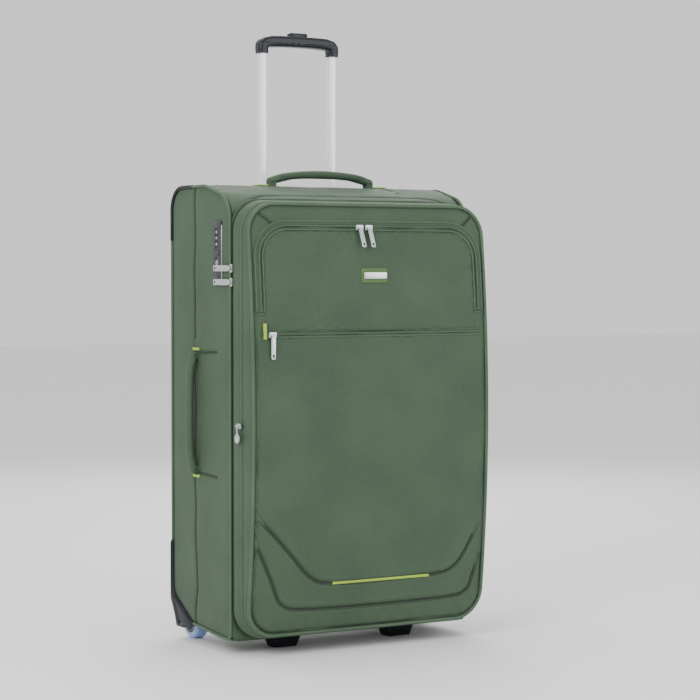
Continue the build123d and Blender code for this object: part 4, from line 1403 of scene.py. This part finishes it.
for name, shape, height, cad, seams in (
        ("lower_pocket_cloth", lower_outline, lower_height, "lower_pocket_panel",
         [upper_seam, lower_seam, rim_of(lower_outline)]),
        ("upper_pocket_cloth", upper_outline, upper_height, "upper_pocket_panel",
         [rim_of(upper_outline)])):
    bm = sheet_inside(shape, step=0.0027)
    mould(bm, on_front(height, edge=0.0008), seams)
    pocket = piece(name, bm, shell_cloth)
    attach(pocket, "lid_front")
    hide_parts(cad)


# Pocket zips: the upper one arches round three sides under two corded flaps and the lower one
# runs level across. Each has dark tape and a coil of fine teeth.

arch_end = 0.574
zip_width = 0.006
welt_radius = 0.0015
level_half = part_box("lower_pocket_panel")[1].x - middle - 0.012


def arch_line(grow, end_z):
    """The arched zip's line, grown outwards, from its left end over the top to its right end."""
    points = outline([(-upper_half - grow, split_z), (upper_half + grow, split_z),
                      (upper_half + grow, upper_high.z + grow), (-upper_half - grow, upper_high.z + grow)],
                     (0.001, 0.001, upper_corner + grow, upper_corner + grow), step=0.006)
    start = max(range(len(points)), key=lambda k: points[k].x - points[k].y)
    return [p for p in points[start:] + points[:start] if p.y > end_z]


def on_bow(points, stand):
    """Places on the bowed front, standing out by a distance."""
    return [(middle + p[0], float(bow_y(p[1])) - stand, p[1]) for p in points]


def flat_band(inner, outer, stand, thickness):
    """A thin band between two lines of as many points."""
    rings = [on_bow(inner, stand), on_bow(outer, stand), on_bow(outer, stand - thickness),
             on_bow(inner, stand - thickness)]
    return skin(rings, closed_ring=False, closed_way=True)


def same_count(points, count):
    """A line divided into a fixed number of points."""
    line = np.array([p[:] for p in points])
    run = np.concatenate([[0.0], np.cumsum(np.hypot(*np.diff(line, axis=0).T))])
    share = np.linspace(0.0, run[-1], count)
    return np.column_stack([np.interp(share, run, line[:, k]) for k in range(2)]).tolist()


arch_count = 160
arch_inner, arch_middle, arch_outer = [same_count(arch_line(grow, arch_end), arch_count)
                                       for grow in (-0.001, zip_width / 2, zip_width + 0.002)]
tape_stand = 0.0016
tape_thickness = 0.001
tape_half = 0.005
fine_tooth_size = (0.0014, 0.0030, 0.0013)
fine_tooth_shift = 0.0008


def front_teeth(points, stand):
    """Coil teeth along a line on the bowed front."""
    bm = bmesh.new()
    line = [Vector(p) for p in on_bow(same_count(points, len(points)), stand)]
    total = sum((b - a).length for a, b in zip(line, line[1:]))
    dense = [Vector(p) for p in on_bow(same_count(points, round(total / tooth_pitch)), stand)]
    for k, (a, b) in enumerate(zip(dense, dense[1:])):
        along = (b - a).normalized()
        out = Vector((0.0, -1.0, 0.0))
        across = along.cross(out).normalized()
        shift = across * (fine_tooth_shift if k % 2 else -fine_tooth_shift)
        turn = Matrix((along, across, along.cross(across))).transposed().to_4x4()
        shape = Matrix.Translation(a + shift) @ turn @ Matrix.Diagonal((*fine_tooth_size, 1.0))
        bmesh.ops.create_cube(bm, size=1.0, matrix=shape)
    return bm


level_points = same_count([(-level_half, split_z), (level_half, split_z)], 60)


def level_at(rise):
    """The level zip's line, raised by a distance."""
    return [(x, z + rise) for x, z in level_points]


arch_tape = piece("upper_zip_tape", flat_band(arch_inner, arch_outer, tape_stand, tape_thickness), zip_tape)
level_tape = piece("lower_zip_tape", flat_band(level_at(-tape_half), level_at(tape_half), tape_stand,
                                               tape_thickness), zip_tape)
arch_coil = piece("upper_zip_coil", front_teeth(arch_middle, tape_stand + 0.0006), coil_nylon)
level_coil = piece("lower_zip_coil", front_teeth(level_points, tape_stand + 0.0006), coil_nylon)
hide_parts("front_zips")
for part in (arch_tape, level_tape, arch_coil, level_coil):
    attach(part, "lid_front")


# Flaps and welts beside the pocket zips: narrow folded strips of shell cloth, each with a corded
# edge, which half cover the zips.

flap_stand = 0.0036
flap_width = 0.0072
flap_thickness = 0.0016
flap_end, foot_end = arch_end - 0.004, arch_end - 0.006
outer_start, outer_stop = zip_width - 0.0006, zip_width + flap_width
outer_flap = flat_band(same_count(arch_line(outer_start, flap_end), arch_count),
                       same_count(arch_line(outer_stop, flap_end), arch_count), flap_stand,
                       flap_thickness)
foot = [tube_along(on_bow([(s * (upper_half - 0.001), foot_end), (s * (upper_half + outer_stop), foot_end)],
                          flap_stand), welt_radius, closed=False) for s in (-1, 1)]
welt_lines = [on_bow(same_count(arch_line(grow, foot_end), 240), stand)
              for grow, stand in ((outer_start, flap_stand), (outer_stop, flap_stand - 0.0004),
                                  (-0.0012, pocket_rise + 0.0004))]
level_flap = flat_band(level_at(0.0012), level_at(0.0085), flap_stand, flap_thickness)
level_welts = [tube_along(on_bow(level_at(rise), stand), welt_radius, closed=False)
               for rise, stand in ((0.0012, flap_stand), (-0.0036, pocket_rise))]
flaps = piece("pocket_zip_flaps", merged(outer_flap, level_flap), shell_cloth)
welts = piece("pocket_zip_welts", merged(*foot, *[tube_along(line, welt_radius, closed=False)
                                                  for line in welt_lines], *level_welts), piping_cloth)
for part, name in ((flaps, "shell_fabric"), (welts, "piping_fabric")):
    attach(part, "lid_front")


# Seams: rows of stitching, drawn tight into the cloth, on the side, top and lid panels. Each is
# a dark thread with short stitches.

seam_radius = 0.0006
stitch_pitch = 0.0042
stitch_share = 0.6
stitch_thickness = 0.0006
thread_lift = 0.0002
thread_nylon = cloth_material("thread_nylon", (0.008, 0.016, 0.009), (0.016, 0.030, 0.017), pitch=0.0006,
                              roughness=0.6, sheen=0.0)


def seam_cord(line, surface):
    """A tight line of thread on a surface given as place(u, v)."""
    dense = same_count(line, len(line) * 12)
    return tube_along([surface(u, v) for u, v in dense], seam_radius, closed=False, sides=6)


def stitches(line, surface, away):
    """Short stitches beside a seam, at a distance away from it."""
    bm = bmesh.new()
    total = sum((Vector(b) - Vector(a)).length for a, b in zip(line, line[1:]))
    dense = same_count(line, round(total / stitch_pitch))
    for a, b in zip(dense, dense[1:]):
        side = (Vector(b) - Vector(a)).normalized()
        shift = Vector((-side.y, side.x)) * away
        p = Vector(surface(a[0] + shift.x, a[1] + shift.y))
        far = Vector(a).lerp(Vector(b), stitch_share) + shift
        q = Vector(surface(far.x, far.y))
        along = (q - p).normalized()
        turn = along.to_track_quat("X", "Z").to_matrix().to_4x4()
        size = ((q - p).length, stitch_thickness, stitch_thickness, 1.0)
        shape = Matrix.Translation((p + q) / 2) @ turn @ Matrix.Diagonal(size)
        bmesh.ops.create_cube(bm, size=1.0, matrix=shape)
    return bm


def one(function, u, v):
    """Value of a height function at one place."""
    return float(function(np.array([u]), np.array([v]))[0])


def on_left(y, z):
    """Places just off the left side's cloth."""
    return (left - one(side_height, y, z) - thread_lift, y, z)


def on_right(y, z):
    """Places just off the right side's cloth."""
    return (right + one(side_height, y, z) + thread_lift, y, z)


def on_top_cloth(u, v):
    """Places just off the top panel's cloth."""
    us, vs = np.array([u]), np.array([v])
    x, y, z = on_wrap(us, vs, top_height(us, vs) + thread_lift)
    return (float(x[0]), float(y[0]), float(z[0] - corner_roll(us, y, True)[0]))


def on_lower(u, v):
    """Places just off the lower pocket's cloth."""
    return (middle + u, float(bow_y(v)) - one(lower_height, u, v) - thread_lift, v)


def on_board(u, v):
    """Places just off the lid's cover."""
    return (middle + u, float(bow_y(v)) - one(board_height, u, v) - thread_lift, v)


side_run = [(side_seam_y + 0.001, case_bottom + bottom_rise + 0.001), *side_seam[1:-1],
            (side_seam_y, case_top - 0.003)]
side_threads = [seam_cord(line, place) for place in (on_left, on_right)
                for line in (side_run, *anchor_seams)]
side_threads += [stitches(side_run, place, 0.0034) for place in (on_left, on_right)]
top_threads = [seam_cord(line, on_top_cloth) for line in (long_seam, *handle_seams)]
top_threads.append(stitches(long_seam, on_top_cloth, 0.0036))
lid_threads = [seam_cord(line, on_lower) for line in (upper_seam[2:-2], lower_seam[2:-2])]
lid_threads += [stitches(line, on_lower, -0.0036) for line in (upper_seam[2:-2], lower_seam[2:-2])]
lid_threads += [seam_cord(line, on_board) for line in corner_seams]
for name, threads, body in (("case_seams", side_threads + top_threads, "case"),
                            ("lid_seams", lid_threads, "lid_front")):
    seams = piece(name, merged(*threads), thread_nylon)
    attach(seams, body)


# Sliders and pulls: cast zinc, plated satin silver, with rounded edges and a slot in each pull.

silver = hard_material("satin_silver", (0.60, 0.61, 0.63), (0.85, 0.86, 0.88), 0.30, grain=1600.0,
                       depth=0.00003, wear=0.6, Metallic=0.9)
for side in ("main_slider_upper", "main_slider_lower", "main_pull_upper", "main_pull_lower",
             "expansion_slider", "expansion_pull", "upper_slider_left", "upper_slider_right",
             "upper_pull_left", "upper_pull_right", "lower_slider", "lower_pull"):
    moulded(f"{side}_cast", [side], silver, 0.0004, side)


# Lock trim: a satin strip along the lock plate's front edge.

plate_low, plate_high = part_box("lock_housing")
trim_size = (0.0044, 0.0012, plate_high.z - plate_low.z - 0.014)
trim_place = Matrix.Translation((plate_low.x + 0.0019, plate_low.y - 0.0004,
                                 (plate_low.z + plate_high.z) / 2))
trim_bm = bmesh.new()
bmesh.ops.create_cube(trim_bm, size=1.0, matrix=trim_place @ Matrix.Diagonal((*trim_size, 1.0)))
bmesh.ops.bevel(trim_bm, geom=trim_bm.edges, offset=0.0004, segments=2, profile=0.5, affect="EDGES",
                material=-1)
lock_trim = piece("lock_trim", trim_bm, silver)
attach(lock_trim, "case")


# Badge: a blank satin plate on a small patch of brighter cloth, sewn to the upper pocket.

patch_cloth = cloth_material("patch_cloth", (0.05, 0.11, 0.035), (0.10, 0.20, 0.06), pitch=0.0010)
badge_low, badge_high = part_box("badge_plate")
badge_z = (badge_low.z + badge_high.z) / 2
patch_size = (0.050, 0.024)
patch_lift = 0.0005
moulded("badge_plate_satin", ["badge_plate"], silver, 0.0005, "lid_front")


def on_upper(u, v):
    """Places just off the upper pocket's cloth."""
    return (middle + u, float(bow_y(v)) - one(upper_height, u, v) - patch_lift, v)


def patch_on(name, centre, size, surface, material, lift=0.0008, cells=(16, 8)):
    """A small sewn patch that follows the cloth below it, with its edge turned under."""
    bm = bmesh.new()
    bmesh.ops.create_grid(bm, x_segments=cells[0], y_segments=cells[1], size=0.5)
    edges = [e for e in bm.edges if e.is_boundary]
    lip = bmesh.ops.extrude_edge_only(bm, edges=edges)
    for item in lip["geom"]:
        if isinstance(item, bmesh.types.BMVert):
            item.co.z = -1.0
    for vert in bm.verts:
        u, v = centre[0] + vert.co.x * size[0], centre[1] + vert.co.y * size[1]
        x, y, z = surface(u, v)
        vert.co = (x, y - lift * (1.0 if vert.co.z > -0.5 else -1.5), z)
    bmesh.ops.recalc_face_normals(bm, faces=bm.faces)
    made = piece(name, bm, material)
    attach(made, "lid_front")


patch_on("badge_patch", (0.0, badge_z), patch_size, on_upper, patch_cloth)


# Bright trim: a thin bar across the lower pocket's upper seam and a folded tag at the left end
# of the level zip.

patch_on("accent_bar", (0.018, 0.1185), (0.190, 0.0042), on_lower, tag_cloth, lift=0.0012, cells=(60, 2))
patch_on("zip_end_tag", (-0.2065, split_z + 0.006), (0.0042, 0.026), on_board, tag_cloth, lift=0.0046,
         cells=(2, 10))


# Packing straps and buckle: woven webbing sewn to the lining at both sides and joined by a side
# release buckle.

webbing = cloth_material("webbing", (0.010, 0.012, 0.012), (0.035, 0.040, 0.042), pitch=0.0024,
                         weave_depth=0.0004, roughness=0.6, sheen=0.05)
strap_low, strap_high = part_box("packing_straps")
strap_y = (strap_low.y + strap_high.y) / 2
strap_z = (strap_low.z + strap_high.z) / 2
strap_half = (strap_high.z - strap_low.z) / 2
strap_start = 0.033
strap_sag = 0.0022
strap_rows = 24
web_half = 0.0008


def strap(side):
    """One strap from the side lining to the buckle, with a slight sag."""
    rings = []
    for k in range(strap_rows + 1):
        share = k / strap_rows
        x = middle + side * (strap_start + (strap_high.x - middle - strap_start) * share)
        z = strap_z - strap_sag * sin(pi * share)
        rings.append([(x, strap_y + back * web_half, z + up * strap_half)
                      for back, up in ((-1, -1), (-1, 1), (1, 1), (1, -1))])
    return capped(rings)


straps = piece("packing_straps_webbing", merged(strap(-1), strap(1)), webbing)
straps.data.shade_flat()
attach(straps, "case")
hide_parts("packing_straps")
moulded("strap_buckle_moulding", ["strap_buckle"], black_plastic, 0.0008, "case")


# Mesh pocket: knitted net inside the lid, bound round its edge with webbing and sewn to the lid's
# lining.

net_corner = 0.012
binding_radius = 0.0022
pocket_low, pocket_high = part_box("lid_mesh_pocket")
net_half = (pocket_high.x - pocket_low.x) / 2
net_outline = outline([(-net_half, pocket_low.z), (net_half, pocket_low.z),
                       (net_half, pocket_high.z), (-net_half, pocket_high.z)], (net_corner,) * 4)


def make_net_group():
    """Mask of a knitted net's threads, with its holes in a square grid."""
    made, source, result = group_of("net", (("Vector", None), ("Pitch", 0.0036)), ("Solid",))
    turn = maths(made, "DIVIDE", 2 * pi, source.outputs["Pitch"])
    axes = node(made, "SeparateXYZ", (("Vector", source.outputs["Vector"]),))
    across = maths(made, "COSINE", maths(made, "MULTIPLY", axes.outputs[0], turn))
    upward = maths(made, "COSINE", maths(made, "MULTIPLY", axes.outputs[2], turn))
    holes = maths(made, "ADD", across, upward)
    made.links.new(maths(made, "LESS_THAN", holes, 0.55), result.inputs["Solid"])
    return made


net_group = make_net_group()
net_cloth = cloth_material("net_cloth", (0.010, 0.011, 0.011), (0.030, 0.032, 0.032), roughness=0.6)
net_kit = node(net_cloth.node_tree, "Group", node_tree=net_group)
net_cloth.node_tree.links.new(node(net_cloth.node_tree, "TexCoord").outputs["Object"],
                              net_kit.inputs["Vector"])
net_cloth.node_tree.links.new(net_kit.outputs["Solid"],
                              net_cloth.node_tree.nodes["Principled BSDF"].inputs["Alpha"])


def net_place(u, v, w):
    """The net stands off the lid's lining and closes to it at its edges."""
    inside = np.maximum(edge_distance(u, v, net_outline), 0)
    stand = 0.006 + 0.013 * (1 - np.exp(-inside / 0.02)) * np.clip((v - pocket_low.z) / 0.05, 0.3, 1)
    return middle + u, bow_y(v) + stand + (w < 0) * -0.0008, v


net_bm = sheet_inside(net_outline, step=0.008, rim=0.001)
mould(net_bm, net_place)
net = piece("lid_mesh_pocket_net", net_bm, net_cloth)
binding_line = [(middle + p.x, float(bow_y(p.y)) + 0.0068, p.y) for p in net_outline]
binding = piece("lid_mesh_pocket_binding", tube_along(binding_line, binding_radius), webbing)
for part in (net, binding):
    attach(part, "lid_front")
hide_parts("lid_mesh_pocket")
